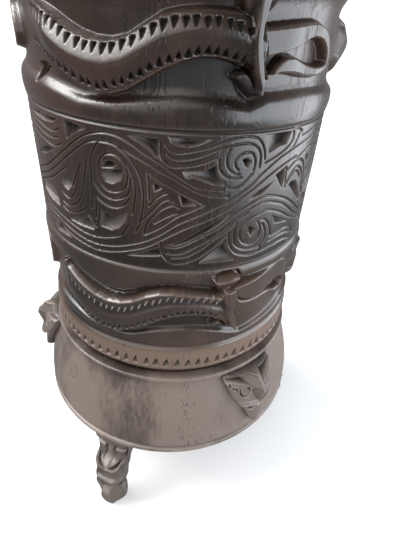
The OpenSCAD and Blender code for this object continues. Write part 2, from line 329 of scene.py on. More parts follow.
def smoothPath(points, steps=6):
    # points on a smooth curve through the given ones
    p = np.array(points, float)
    p = np.vstack([2 * p[0] - p[1], p, 2 * p[-1] - p[-2]])
    t = np.linspace(0, 1, steps, endpoint=False)[:, None]
    parts = []
    for a, b, c, d in zip(p[:-3], p[1:-2], p[2:-1], p[3:]):
        bend, twist = 2 * a - 5 * b + 4 * c - d, 3 * b - a - 3 * c + d
        parts.append(0.5 * (2 * b + (c - a) * t + bend * t**2 + twist * t**3))
    return np.vstack(parts + [p[-2:-1]])


def flatPoints(points):
    # from degrees and height to the unrolled surface, in body radii both ways
    p = np.array(points, float)
    return np.column_stack([np.radians(p[:, 0]), p[:, 1]])


# Outlines of raised shapes are drawn on the plain body as an eye in front of it sees them. On a face that
# stands out by some millimetres, they move towards that eye: its distance, its height, the widest turn.
drawingEye = {"away": 3.0, "height": 1.57, "widest": 0.75}


def liftedPoints(points, stand):
    p = flatPoints(points)
    away, widest = drawingEye["away"], drawingEye["widest"]
    turn = np.clip(p[:, 0], -widest, widest)
    reach = stand * mm / (away * np.cos(turn) - 1)
    rise = (drawingEye["height"] - p[:, 1]) * reach
    return np.column_stack([p[:, 0] - away * np.sin(turn) * reach, p[:, 1] + rise])


def roundedShape(corners, stand, steps=6):
    return smoothPath(liftedPoints(corners + corners[:1], stand), steps)


def edgeDistance(path, x, y):
    best = np.full(x.shape, 1e9)
    for (ax, ay), (bx, by) in zip(path[:-1], path[1:]):
        dx, dy = bx - ax, by - ay
        t = np.clip(((x - ax) * dx + (y - ay) * dy) / (dx * dx + dy * dy + 1e-12), 0, 1)
        best = np.minimum(best, (x - ax - t * dx) ** 2 + (y - ay - t * dy) ** 2)
    return np.sqrt(best)


def insideOf(path, x, y):
    inside = np.zeros(x.shape, bool)
    for (ax, ay), (bx, by) in zip(path, np.roll(path, -1, axis=0)):
        crosses = (ay > y) != (by > y)
        inside ^= crosses & (x < (bx - ax) * (y - ay) / (by - ay + 1e-12) + ax)
    return inside


def signedDistance(corners, x, y):  # positive inside the outline, negative outside
    closed = np.vstack([corners, corners[:1]])
    distance = edgeDistance(closed, x, y)
    return np.where(insideOf(corners, x, y), distance, -distance)


def ease(value, low, high):
    t = np.clip((value - low) / (high - low), 0, 1)
    return t * t * (3 - 2 * t)


def bump(value, centre, width):
    return np.exp(-(((value - centre) / width) ** 2))


def readTable(table, places):
    rows = np.array(table)
    return np.interp(places, rows[:, 0], rows[:, 1])


# one third of the body, unrolled: a grid of heights and angles that the knife works on
class Surface:
    def __init__(self, angles, heights):
        self.x, self.y = np.meshgrid(np.radians(angles), heights)
        self.angles, self.heights = angles, heights

    def windows(self, shape, margin):
        # the parts of the grid near a shape, which may run over either side of the third
        low, high = shape.min(0) - margin, shape.max(0) + margin
        rows = np.nonzero((self.heights >= low[1]) & (self.heights <= high[1]))[0]
        for turn in (-1, 0, 1):
            shift = turn * math.radians(third)
            around = self.x[0]
            columns = np.nonzero((around >= low[0] + shift) & (around <= high[0] + shift))[0]
            if len(rows) and len(columns):
                where = (slice(rows[0], rows[-1] + 1), slice(columns[0], columns[-1] + 1))
                yield where, self.x[where] - shift, self.y[where]

    def carve(self, depth, path, width, reach):
        # a knife line along a path: depth keeps the deeper of what is there and the new cut
        for where, x, y in self.windows(path, width):
            cut = reach * np.clip(1 - edgeDistance(path, x, y) / (width / 2), 0, 1)
            depth[where] = np.maximum(depth[where], cut)

    def scoop(self, depth, corners, deepest, reach, wall=0.7 * mm):
        # a pocket with steep sides, whose floor slopes down to its deepest point
        far = np.hypot(*(corners - deepest).T).max()
        for where, x, y in self.windows(corners, 0):
            slope = 1 - np.hypot(x - deepest[0], y - deepest[1]) / far
            sides = ease(signedDistance(corners, x, y), -0.1 * wall, wall)
            cut = reach * np.clip(0.12 + 0.95 * slope, 0, 1) * sides
            depth[where] = np.maximum(depth[where], cut)

    def raised(self, corners, rise, edge, slope=None):
        # how high a raised shape stands at each point; slope(x, y) changes its top
        height = np.zeros(self.x.shape)
        for where, x, y in self.windows(corners, edge):
            top = rise if slope is None else slope(x, y)
            flank = ease(signedDistance(corners, x, y), -0.3 * edge, edge)
            height[where] = np.maximum(height[where], top * flank)
        return height


scrollBand = {
    "lineWidth": 1.1 * mm, "lineDepth": 1.0 * mm, "pocketDepth": 4.6 * mm,
    "low": 0.163, "high": 1.0, "borderWidth": 0.9 * mm, "borderDepth": 1.0 * mm,  # its two border lines
    # amounts of painted shade and dirt in lines, pockets and border lines, of painted glints beside the
    # lines, and of painted shade in the deepest part of pockets
    "lineDirtAndShade": 0.75, "pocketDirtAndShade": 0.8, "borderDirtAndShade": 0.7, "lineGlints": 0.20, "deepShade": 0.85,
}

scrollLines = [
    # the ribbon that rises over the eye and falls away to the right
    [(-64, 0.575), (-60, 0.605), (-55, 0.635), (-50, 0.68), (-45, 0.737), (-40, 0.80), (-35, 0.865),
     (-30, 0.92), (-25, 0.95), (-21, 0.957), (-17, 0.945), (-13, 0.912), (-10, 0.88), (-5, 0.832),
     (0, 0.775), (5, 0.72), (9, 0.70), (15, 0.69)],
    [(-64, 0.53), (-60, 0.56), (-55, 0.59), (-50, 0.635), (-45, 0.69), (-40, 0.755), (-35, 0.82),
     (-30, 0.88), (-27, 0.90), (-24, 0.908), (-20, 0.905), (-15, 0.875), (-10, 0.837), (-5, 0.79),
     (0, 0.747), (5, 0.695), (10, 0.662), (17, 0.648)],
    [(-64, 0.49), (-60, 0.52), (-55, 0.552), (-50, 0.59), (-46, 0.632), (-43, 0.668), (-40, 0.70)],
    # the ribbon that dips under the eye and climbs to the right
    [(-62, 0.405), (-55, 0.375), (-50, 0.36), (-45, 0.345), (-40, 0.327), (-35, 0.313), (-30, 0.31),
     (-25, 0.325), (-20, 0.355), (-17.5, 0.39), (-15.5, 0.455)],
    [(-60, 0.355), (-52, 0.325), (-45, 0.30), (-40, 0.28), (-35, 0.266), (-30, 0.26), (-25, 0.27),
     (-20, 0.29), (-15, 0.32), (-10, 0.357), (-5, 0.41), (0, 0.475), (5, 0.52), (10, 0.56), (13, 0.585),
     (17, 0.615), (20, 0.645), (25, 0.70), (28, 0.75), (31, 0.787), (35, 0.83), (40, 0.862), (45, 0.885),
     (50, 0.90), (56, 0.912), (62, 0.90)],
    [(-56, 0.292), (-50, 0.28), (-45, 0.257), (-40, 0.237), (-35, 0.225), (-30, 0.218), (-25, 0.228),
     (-20, 0.25), (-15, 0.28), (-10, 0.315), (-5, 0.37), (0, 0.425), (5, 0.47), (10, 0.505), (15, 0.545),
     (20, 0.60), (23, 0.64), (27, 0.685), (31, 0.73), (35, 0.767), (40, 0.80), (44.5, 0.818)],
    [(45.5, 0.805), (50, 0.83), (55, 0.85), (58, 0.845), (62, 0.825)],
    [(46, 0.938), (50, 0.945), (55, 0.957), (60, 0.952), (64, 0.94)],
    # the second wave
    [(-3, 0.333), (0, 0.326), (3, 0.343), (6, 0.37), (10, 0.41), (15, 0.455), (20, 0.525), (23, 0.56),
     (27, 0.592), (31, 0.613), (35, 0.603), (40, 0.575), (45, 0.535), (50, 0.48), (55, 0.42), (60, 0.372),
     (64, 0.35)],
    [(-3, 0.285), (0, 0.28), (3, 0.29), (6, 0.32), (10, 0.36), (14, 0.40), (17, 0.435), (20, 0.47),
     (23, 0.515), (26, 0.547), (30, 0.572), (34, 0.568), (38, 0.547), (42, 0.52), (46, 0.475),
     (50, 0.425), (55, 0.375), (60, 0.333), (65, 0.305)],
    [(-1, 0.252), (3, 0.26), (6, 0.28), (10, 0.327), (13, 0.37), (16, 0.402), (19, 0.44), (21.5, 0.475)],
    [(-3.6, 0.28), (-3, 0.24), (-1, 0.215), (1.5, 0.21), (5, 0.225), (8, 0.25), (12, 0.30), (15, 0.345),
     (17.5, 0.385), (19, 0.405)],
    [(-4.8, 0.355), (-4.6, 0.31), (-4.1, 0.27), (-3, 0.24)],
    # outline and arcs of the three-cornered panel
    [(-9, 0.778), (-8.7, 0.70), (-8.5, 0.615)],
    [(-9, 0.778), (-5, 0.735), (0, 0.69), (5, 0.645), (9, 0.605)],
    [(9, 0.602), (5, 0.568), (0, 0.525), (-5, 0.455), (-10.3, 0.398)],
    [(-8.7, 0.583), (-7, 0.622), (-5, 0.652), (-3, 0.668)],
    [(-11.5, 0.48), (-10, 0.51), (-8, 0.55), (-6, 0.592), (-3.7, 0.625), (-2, 0.631), (-1, 0.62)],
    [(-10.3, 0.40), (-9.7, 0.455), (-8, 0.508), (-5, 0.565), (-2, 0.595), (0, 0.597), (1, 0.582)],
    [(-7, 0.48), (-4, 0.515), (-1, 0.545), (0.2, 0.55)],
    # the eye: its outer oval, its ring and the arcs under it
    [(-18, 0.89), (-15, 0.852), (-13, 0.805), (-11.5, 0.75), (-10.6, 0.68), (-10.5, 0.60), (-11, 0.53),
     (-11.9, 0.472)],
    [(-17, 0.83), (-15, 0.79), (-13.9, 0.75), (-13.2, 0.70), (-13.1, 0.64), (-13.6, 0.57), (-14.2, 0.52)],
    [(-11.2, 0.50), (-12, 0.455), (-13.2, 0.41)],
    [(-15.5, 0.745), (-16, 0.80), (-18, 0.84), (-20.5, 0.852), (-23, 0.84), (-25, 0.80), (-25.6, 0.745),
     (-25, 0.69), (-23.5, 0.65), (-21, 0.637), (-18, 0.652), (-16, 0.69), (-15.5, 0.745)],
    [(-27.2, 0.675), (-26, 0.635), (-24, 0.605), (-21, 0.592), (-18, 0.605), (-15.7, 0.635),
     (-14.7, 0.68), (-14.5, 0.73)],
    [(-27, 0.585), (-25, 0.56), (-22, 0.542), (-19, 0.548), (-16.5, 0.575), (-15, 0.615)],
    [(-25, 0.90), (-27, 0.85), (-28, 0.80), (-28.4, 0.70), (-28.8, 0.60), (-29.2, 0.50)],
    [(-27.2, 0.57), (-27.6, 0.50), (-28, 0.44)],
    # the leaf beside it
    [(-44, 0.538), (-42.5, 0.517), (-40, 0.51), (-38, 0.535), (-36.3, 0.575), (-35, 0.625), (-34, 0.685),
     (-32.5, 0.75)],
    [(-44.2, 0.468), (-41.5, 0.452), (-38, 0.475), (-35, 0.52), (-33.3, 0.57), (-32.3, 0.63),
     (-31.3, 0.69), (-29.7, 0.79)],
    [(-45, 0.432), (-42, 0.411), (-38, 0.425), (-35, 0.45), (-33, 0.475), (-31.3, 0.505)],
    [(-37.2, 0.60), (-35.7, 0.655), (-34.2, 0.71), (-33, 0.745)],
    [(-31.3, 0.45), (-30, 0.42), (-28.3, 0.38), (-27, 0.43), (-26.2, 0.50)],
    # the ribbon's round end at the upper left
    [(-64, 0.94), (-60, 0.925), (-55, 0.91), (-50, 0.895), (-46, 0.89), (-43, 0.90), (-41, 0.92)],
    [(-64, 0.892), (-60, 0.88), (-55, 0.865), (-50, 0.853), (-46, 0.85), (-42, 0.866)],
    [(-60, 0.832), (-55, 0.82), (-50, 0.81), (-47, 0.805), (-44, 0.811), (-41, 0.832)],
    # the upper spiral with the ribbon that winds into it
    [(-2.6, 0.975), (3, 0.972), (10, 0.972)],
    [(-3.5, 0.93), (-2, 0.905), (0, 0.895), (3, 0.90), (7, 0.915), (10, 0.93), (13, 0.95), (16, 0.967),
     (19, 0.977), (22, 0.977), (25, 0.962), (27, 0.93), (28.2, 0.89), (28.8, 0.845)],
    [(-3, 0.885), (-1, 0.862), (3, 0.863), (7, 0.88), (10, 0.90), (13, 0.92), (16, 0.932), (20, 0.94),
     (23, 0.935), (25.5, 0.91), (26.9, 0.87), (27.2, 0.80)],
    [(-4, 0.85), (-2, 0.825), (0, 0.82), (5, 0.83), (9, 0.85), (12, 0.872)],
    [(-5, 0.94), (-5, 0.88), (-4.2, 0.845), (-2, 0.825)],
    [(25, 0.785), (25.2, 0.835), (24, 0.88), (21.5, 0.893), (19.5, 0.88), (18.2, 0.85), (18.3, 0.82),
     (19.5, 0.795)],
    [(16, 0.915), (15.2, 0.87), (15.6, 0.82), (17.5, 0.785), (20, 0.772)],
    [(24.8, 0.77), (23, 0.735), (21, 0.707), (19, 0.695), (16.5, 0.697)],
    [(12.7, 0.86), (13.2, 0.81), (14.5, 0.775), (17, 0.755), (20.7, 0.753)],
    # the lower spiral with its hook
    [(24.2, 0.442), (23.2, 0.41), (23.3, 0.365), (24.7, 0.325), (27.3, 0.302), (29.6, 0.308),
     (31.2, 0.335), (31.7, 0.375), (31.2, 0.42), (30, 0.452)],
    [(24.2, 0.445), (26, 0.475), (28.5, 0.497), (31, 0.507), (34, 0.512), (38, 0.492), (43, 0.452),
     (48, 0.40), (54, 0.352), (60, 0.312)],
    [(25, 0.525), (22.3, 0.495), (21, 0.44), (20.9, 0.37), (21.6, 0.32), (24, 0.285), (27, 0.267),
     (30, 0.262), (33, 0.263)],
    [(18.7, 0.40), (19, 0.35), (20, 0.305), (22, 0.26), (25, 0.235), (28.5, 0.22), (33, 0.224)],
    [(30, 0.452), (32, 0.457), (34, 0.443), (36, 0.40), (37, 0.36), (37.5, 0.318)],
    [(32.5, 0.43), (34, 0.385), (34.8, 0.34), (34.5, 0.30), (33.2, 0.262), (33.2, 0.225)],
    [(38, 0.315), (42, 0.32), (46, 0.325), (50, 0.31), (53, 0.28), (55.2, 0.23)],
    [(37, 0.28), (42, 0.29), (47, 0.285), (51, 0.265)],
    [(34, 0.226), (38, 0.232), (44, 0.236), (48, 0.23), (52, 0.207)],
    # the hook and the nested arches at the right
    [(29.3, 0.822), (32, 0.84), (35, 0.86), (38, 0.885), (40, 0.915), (40.6, 0.95), (40, 0.978)],
    [(40, 0.862), (42, 0.89), (43.3, 0.93), (43.7, 0.952)],
    [(41, 0.99), (43, 0.984), (45.3, 0.962)],
    [(40.3, 0.76), (40.6, 0.70), (41.4, 0.632)],
    [(41, 0.745), (43, 0.77), (45, 0.785), (48, 0.785), (51, 0.76), (53, 0.715), (54.2, 0.66),
     (55.5, 0.59), (57, 0.52), (58.7, 0.44)],
    [(41.5, 0.665), (43, 0.70), (45, 0.735), (47, 0.745), (50, 0.72), (52, 0.68), (53.7, 0.60),
     (55.5, 0.52)],
    [(42, 0.655), (43.5, 0.69), (45, 0.71), (47, 0.715), (49, 0.695), (50.5, 0.66)],
]

# corners of each pocket, then its deepest point
scrollPockets = [
    ([(-62, 0.505), (-55, 0.515), (-47.3, 0.53), (-46.7, 0.412), (-52, 0.415), (-62, 0.455)],
      (-47.5, 0.525)),
    ([(-42.2, 0.357), (-38, 0.387), (-34, 0.406), (-31.2, 0.423), (-29, 0.355), (-35, 0.35)],
      (-32, 0.42)),
    ([(-43.3, 0.612), (-40, 0.625), (-36.8, 0.65), (-37.8, 0.60), (-40, 0.555), (-42.5, 0.575)],
      (-39, 0.632)),
    ([(-26.3, 0.398), (-25.2, 0.50), (-22, 0.487), (-20, 0.476), (-17.2, 0.51), (-15.4, 0.538),
      (-16.5, 0.47), (-19, 0.415), (-22, 0.388)], (-25, 0.50)),
    ([(-18, 0.233), (-12, 0.272), (-5.2, 0.318), (-4.7, 0.263), (-10, 0.25)], (-5.5, 0.31)),
    ([(-3.2, 0.34), (2, 0.366), (5, 0.40), (8, 0.432), (12, 0.477), (16, 0.517), (20, 0.556), (16, 0.49),
      (12, 0.44), (8, 0.40), (4, 0.362), (0, 0.337)], (7, 0.42)),
    ([(8.3, 0.212), (10, 0.24), (13, 0.285), (16, 0.322), (17.4, 0.352), (18.2, 0.30), (20, 0.25),
      (22.3, 0.213)], (17, 0.32)),
    ([(-2.7, 0.972), (-2, 0.945), (0, 0.932), (3, 0.927), (6, 0.937), (10.3, 0.968)], (3, 0.972)),
    ([(1.2, 0.80), (8, 0.797), (12.2, 0.83), (12.7, 0.775), (14, 0.732), (16.2, 0.717), (12, 0.722),
      (9, 0.742), (5, 0.765), (3, 0.757)], (11.8, 0.80)),
    ([(28, 0.982), (39, 0.977), (37.5, 0.912), (34, 0.905), (30, 0.873)], (37, 0.95)),
    ([(35, 0.733), (40.1, 0.777), (39.5, 0.632)], (39, 0.72)),
    ([(24.5, 0.61), (28, 0.652), (35, 0.70), (30, 0.635)], (32, 0.675)),
    ([(43.3, 0.642), (45, 0.656), (48, 0.65), (50, 0.612), (52, 0.553), (54.7, 0.483), (53, 0.487),
      (50, 0.54), (47, 0.587)], (47.5, 0.625)),
    ([(52, 0.797), (56.7, 0.797), (55, 0.742)], (55, 0.775)),
    ([(55.3, 0.70), (57.2, 0.69), (56.4, 0.655)], (56.4, 0.68)),
    ([(37.3, 0.462), (39, 0.402), (47.7, 0.368)], (38.5, 0.44)),
    ([(-60, 0.947), (-54, 0.966), (-46, 0.967), (-41.7, 0.966), (-44, 0.94), (-49, 0.93), (-56, 0.935)],
      (-45, 0.968)),
    ([(-38.5, 0.977), (-28.3, 0.96), (-32, 0.937), (-35.5, 0.90), (-37.8, 0.872)], (-37.8, 0.96)),
    ([(-15.6, 0.966), (-10, 0.963), (-5.7, 0.957), (-5.7, 0.853), (-8.5, 0.905), (-12, 0.94)],
      (-6.2, 0.945)),
    ([(-59, 0.703), (-55, 0.752), (-50.5, 0.782), (-45, 0.779), (-49, 0.755), (-53, 0.722)], (-52, 0.77)),
    ([(-54, 0.26), (-49, 0.272), (-41, 0.214), (-52, 0.203)], (-52, 0.235)),
    ([(-7.2, 0.722), (-4, 0.70), (-7, 0.667)], (-7, 0.71)),
    ([(0.8, 0.665), (2, 0.598), (7.2, 0.603)], (1.8, 0.62)),
    ([(-24.2, 0.735), (-23.3, 0.69), (-20.5, 0.682), (-17.5, 0.715), (-16.6, 0.78), (-20, 0.765)],
      (-20.5, 0.77)),
    ([(-24.2, 0.765), (-23.5, 0.80), (-21, 0.815), (-18.5, 0.80), (-20, 0.777)], (-22, 0.77)),
    ([(20.3, 0.855), (22, 0.862), (23.8, 0.84), (23, 0.81), (21.8, 0.812)], (22.8, 0.835)),
    ([(26.2, 0.43), (28, 0.422), (29.8, 0.395), (27.8, 0.355), (26.6, 0.39)], (28, 0.40)),
]


def carveScroll(surface):
    depth, pockets = np.zeros(surface.x.shape), np.zeros(surface.x.shape)
    line, deep = scrollBand["lineDepth"], scrollBand["pocketDepth"]
    for points in scrollLines:
        surface.carve(depth, smoothPath(flatPoints(points)), scrollBand["lineWidth"], line)
    for corners, deepest in scrollPockets:
        surface.scoop(pockets, flatPoints(corners), flatPoints([deepest])[0], deep)
    # pockets are bare wood, but their deepest corner gets painted shade and dirt, as the bottom of every
    # line does
    unshaded = 1 - scrollBand["deepShade"] * ease(pockets, 0.35 * deep, 0.85 * deep)
    bareAndShade = ease(pockets, 0.15 * mm, 0.5 * mm) * unshaded
    dirtAndShade = ease(depth, 0.30 * line, 0.85 * line) * scrollBand["lineDirtAndShade"]
    dirtAndShade = np.maximum(dirtAndShade, scrollBand["pocketDirtAndShade"] * ease(pockets, 0.50 * deep, 0.92 * deep))
    return np.maximum(depth, pockets), bareAndShade, dirtAndShade


# for each angle: upper edge, row of upper notches, row of lower notches, lower edge
lowerSnake = {
    "back": [(-60, -0.03, -0.10, -0.27, -0.31), (-55, -0.03, -0.13, -0.29, -0.33),
             (-50, -0.02, -0.18, -0.33, -0.35), (-45, -0.03, -0.205, -0.34, -0.36),
             (-40, -0.06, -0.22, -0.36, -0.385), (-35, -0.085, -0.235, -0.385, -0.41),
             (-30, -0.11, -0.24, -0.40, -0.425), (-25, -0.122, -0.23, -0.40, -0.43),
             (-20, -0.112, -0.21, -0.37, -0.405), (-15, -0.08, -0.175, -0.325, -0.365),
             (-10, -0.025, -0.12, -0.275, -0.315), (-5, 0.008, -0.085, -0.225, -0.255),
             (0, 0.015, -0.067, -0.192, -0.22), (5, 0.005, -0.067, -0.177, -0.205),
             (10, -0.01, -0.075, -0.18, -0.207), (15, -0.03, -0.09, -0.205, -0.235),
             (20, -0.04, -0.12, -0.26, -0.30), (24, -0.06, -0.16, -0.33, -0.37)],
    "slanted": True, "starts": -44, "border": scrollBand["low"],
    # across the back, from the lower edge to the upper: how far it stands out, in millimetres
    "round": [(0, 3.2), (0.05, 3.9), (0.15, 4.4), (0.30, 4.9), (0.42, 5.1), (0.48, 4.9), (0.54, 4.4),
              (0.60, 4.15), (0.68, 4.15), (0.76, 4.5), (0.83, 5.0), (0.88, 5.3), (0.92, 5.2), (0.96, 4.4),
              (1, 2.6)],
    "jaws": [(22, 0.0), (28, 0.015), (35, 0.022), (45, 0.024), (53, 0.02), (57.5, -0.02), (59, -0.10),
             (58.5, -0.20), (56, -0.28), (51, -0.335), (45, -0.33), (40, -0.31), (35, -0.28),
             (30, -0.255), (24, -0.235)],
    "mouth": [(24.4, -0.075), (27, -0.10), (30, -0.122), (35, -0.14), (40, -0.14), (45, -0.122),
              (50, -0.122), (54, -0.145), (55.6, -0.185), (54, -0.228), (50, -0.23), (45, -0.19),
              (40, -0.168), (35, -0.155), (30, -0.14), (26, -0.118)],
    "wedge": [(19.8, -0.04), (20.6, -0.18), (22.3, -0.29), (24.7, -0.37), (28.4, -0.462), (28.4, -0.40),
              (26.7, -0.30), (25.9, -0.22), (26.4, -0.12), (25.6, -0.04)],
    "spine": [(22.8, -0.02), (23.2, -0.20), (25, -0.32), (28, -0.45)],
    "spur": [(15.3, -0.35), (19.5, -0.295), (25.3, -0.40)],
    "spurPocket": [(15.7, -0.275), (18.6, -0.272), (20.3, -0.298), (16, -0.345)],
    "slit": [(18, -0.275), (21, -0.32), (25, -0.40)],
    "lip": [(15.3, 0.045), (16.5, 0.0), (18.3, -0.045), (21, -0.063), (24, -0.047), (26.2, -0.01),
            (27.4, 0.052), (24, 0.036), (21, 0.03), (18, 0.035)],
    "cup": [(15.6, 0.05), (18, 0.038), (21, 0.033), (24, 0.038), (27, 0.055), (26.4, 0.085), (25, 0.102),
            (20, 0.106), (16.6, 0.09)],
    "pocket": ([(-53.5, -0.045), (-50, -0.005), (-46.5, 0.03), (-43.7, 0.005), (-44.5, -0.01)],
                (-46.5, 0.01)),
    "hatched": False,
    "step": [(-60, -0.40), (-45, -0.41), (-32, -0.43), (-20, -0.43), (-15, -0.41), (-10, -0.372),
             (-5, -0.35), (0, -0.34), (5, -0.335), (10, -0.342), (15, -0.362), (20, -0.39), (25, -0.43),
             (30, -0.46), (60, -0.40)],
}
upperSnake = {
    "back": [(-60, 1.52, 1.46, 1.34, 1.30), (-55, 1.52, 1.45, 1.33, 1.29), (-50, 1.51, 1.44, 1.32, 1.285),
             (-45, 1.495, 1.42, 1.295, 1.265), (-40, 1.47, 1.395, 1.26, 1.235),
             (-35, 1.435, 1.36, 1.235, 1.19), (-30, 1.405, 1.34, 1.205, 1.155),
             (-25, 1.388, 1.33, 1.18, 1.135), (-20, 1.385, 1.338, 1.192, 1.135),
             (-15, 1.405, 1.362, 1.225, 1.165), (-10, 1.455, 1.41, 1.27, 1.215),
             (-5, 1.505, 1.452, 1.315, 1.265), (0, 1.525, 1.468, 1.345, 1.305),
             (5, 1.535, 1.475, 1.367, 1.33), (10, 1.535, 1.472, 1.37, 1.332),
             (15, 1.53, 1.46, 1.35, 1.315), (20, 1.51, 1.43, 1.31, 1.275), (24, 1.50, 1.40, 1.26, 1.22)],
    "slanted": False, "starts": -36, "border": scrollBand["high"],
    "round": [(0, 2.0), (0.07, 2.9), (0.18, 3.9), (0.30, 4.9), (0.42, 5.8), (0.50, 6.2), (0.56, 6.2),
              (0.60, 6.3), (0.65, 6.0), (0.72, 5.3), (0.80, 4.4), (0.88, 3.5), (0.96, 2.5), (1, 1.6)],
    "jaws": [(21, 1.47), (30, 1.487), (40, 1.50), (46, 1.50), (51, 1.475), (54.5, 1.43), (56.8, 1.37),
             (57.3, 1.31), (55.5, 1.255), (51, 1.235), (46, 1.237), (40, 1.25), (35, 1.265), (30, 1.272),
             (26.5, 1.262), (24, 1.25)],
    "mouth": [(22.4, 1.352), (26, 1.365), (30, 1.38), (35, 1.402), (40, 1.425), (44, 1.431), (48, 1.421),
              (51, 1.392), (53, 1.352), (53.7, 1.31), (52, 1.292), (48, 1.287), (44, 1.296), (40, 1.31),
              (36, 1.33), (33, 1.345), (30, 1.346), (28, 1.33), (26, 1.29), (24.9, 1.253), (23.8, 1.28)],
    "wedge": [(19.3, 1.60), (19.3, 1.50), (18.5, 1.42), (19.6, 1.34), (21.4, 1.26), (22.2, 1.20),
              (23, 1.16), (24.6, 1.165), (25.3, 1.20), (25, 1.25), (23.8, 1.33), (22.6, 1.40),
              (22.6, 1.48), (24.2, 1.60)],
    "spine": [(21.5, 1.60), (21.2, 1.42), (22.2, 1.32), (23.8, 1.18)],
    "spur": [(15, 1.255), (16.5, 1.275), (18.3, 1.283), (20, 1.262), (22.6, 1.20), (22.8, 1.16),
             (19, 1.205)],
    "spurPocket": [(14.6, 1.25), (18.6, 1.20), (21.8, 1.15), (20.5, 1.145), (17, 1.18)],
    "slit": [(18.3, 1.31), (20.3, 1.275), (21.8, 1.205)],
    "lip": [(15.3, 1.60), (16.5, 1.55), (18.3, 1.51), (21, 1.49), (24, 1.51), (26.2, 1.545),
            (27.4, 1.607), (24, 1.591), (21, 1.585), (18, 1.59)],
    "cup": [(15.6, 1.605), (18, 1.593), (21, 1.588), (24, 1.593), (27, 1.61), (26.4, 1.64), (25, 1.657),
            (20, 1.661), (16.6, 1.645)],
    "pocket": ([(-50.5, 1.125), (-43.5, 1.215), (-47, 1.235), (-51, 1.225)], (-49, 1.19)),
    "hatched": True,
    "step": [(-60, 1.20), (-45, 1.18), (-30, 1.13), (-20, 1.14), (-15, 1.155), (-8, 1.172), (0, 1.187),
             (8, 1.182), (14, 1.17), (20, 1.15), (26, 1.20), (40, 1.21), (60, 1.20)],
}
# how far each part of the head stands out, in millimetres, and the levels of its hollows
snakeHead = {"jaw": 5.0, "jawEnd": 0.9, "wedge": 7.5, "spur": 4.5, "lip": 6.5, "mouthFloor": -1.2,
             "neck": 21, "spurPocket": 0.955, "cup": 0.94, "pocketDepth": 5.0 * mm}
notchCut = {"upperPitch": 2.55, "lowerPitch": 2.35, "depth": 2.4 * mm, "slitDepth": 1.5 * mm,
            "from": -50, "to": 16.6, "wall": 0.3 * mm}
# painted shade in the notches, in the channel along the lower snake's back, in the recesses by the back and
# in the eye cup
snakeShade = {"notches": 0.95, "back": 0.6, "recess": 0.65, "cup": 0.85}


def liftedTable(table):
    # each column of a table of angles and heights, moved to where it lies on the raised back
    rows = np.array(table)
    columns = []
    for k, stand in ((1, 2.0), (2, 5.5), (3, 4.0), (4, 2.5)):
        moved = liftedPoints(rows[:, [0, k]], stand)
        columns.append((np.degrees(moved[:, 0]), moved[:, 1]))
    return columns


def sunk(height, share, level):
    return height * (1 - share) + np.minimum(height, level) * share


def standing(height, rise):
    return np.maximum(height, 1.0 + rise - (rise == 0))


def cutNotches(surface, snake, upRow, lowRow):
    cuts = np.zeros(surface.x.shape)
    shake = np.random.default_rng(7)
    for row, pitch, isUpper in ((upRow, "upperPitch", True), (lowRow, "lowerPitch", False)):
        isSlit = isUpper and snake["slanted"]
        for angle in np.arange(notchCut["from"], notchCut["to"], notchCut[pitch]):
            a = angle + shake.uniform(-0.22, 0.22)
            h = np.interp(a, surface.angles, row) + shake.uniform(-0.003, 0.003)
            size = shake.uniform(0.88, 1.12)
            wide, tall = 0.95 * size, 0.026 * size
            if isSlit:
                top, low = h + 0.010, h - 0.040
                corners = [(a - 1.0, h - 0.040 * size), (a - 0.1, top), (a + 0.7, top), (a - 0.4, low)]
                deepest = h - 0.005
            elif isUpper:
                corners = [(a - wide, h + 0.024), (a + wide, h + 0.024), (a - 0.15, h - tall)]
                deepest = h + 0.02
            else:
                corners = [(a - wide, h - 0.021), (a + wide, h - 0.021), (a + 0.25, h + tall)]
                deepest = h - 0.012
            deep = notchCut["slitDepth" if isSlit else "depth"]
            deepPoint = flatPoints([(a, deepest)])[0]
            surface.scoop(cuts, flatPoints(corners), deepPoint, deep, notchCut["wall"])
    return cuts


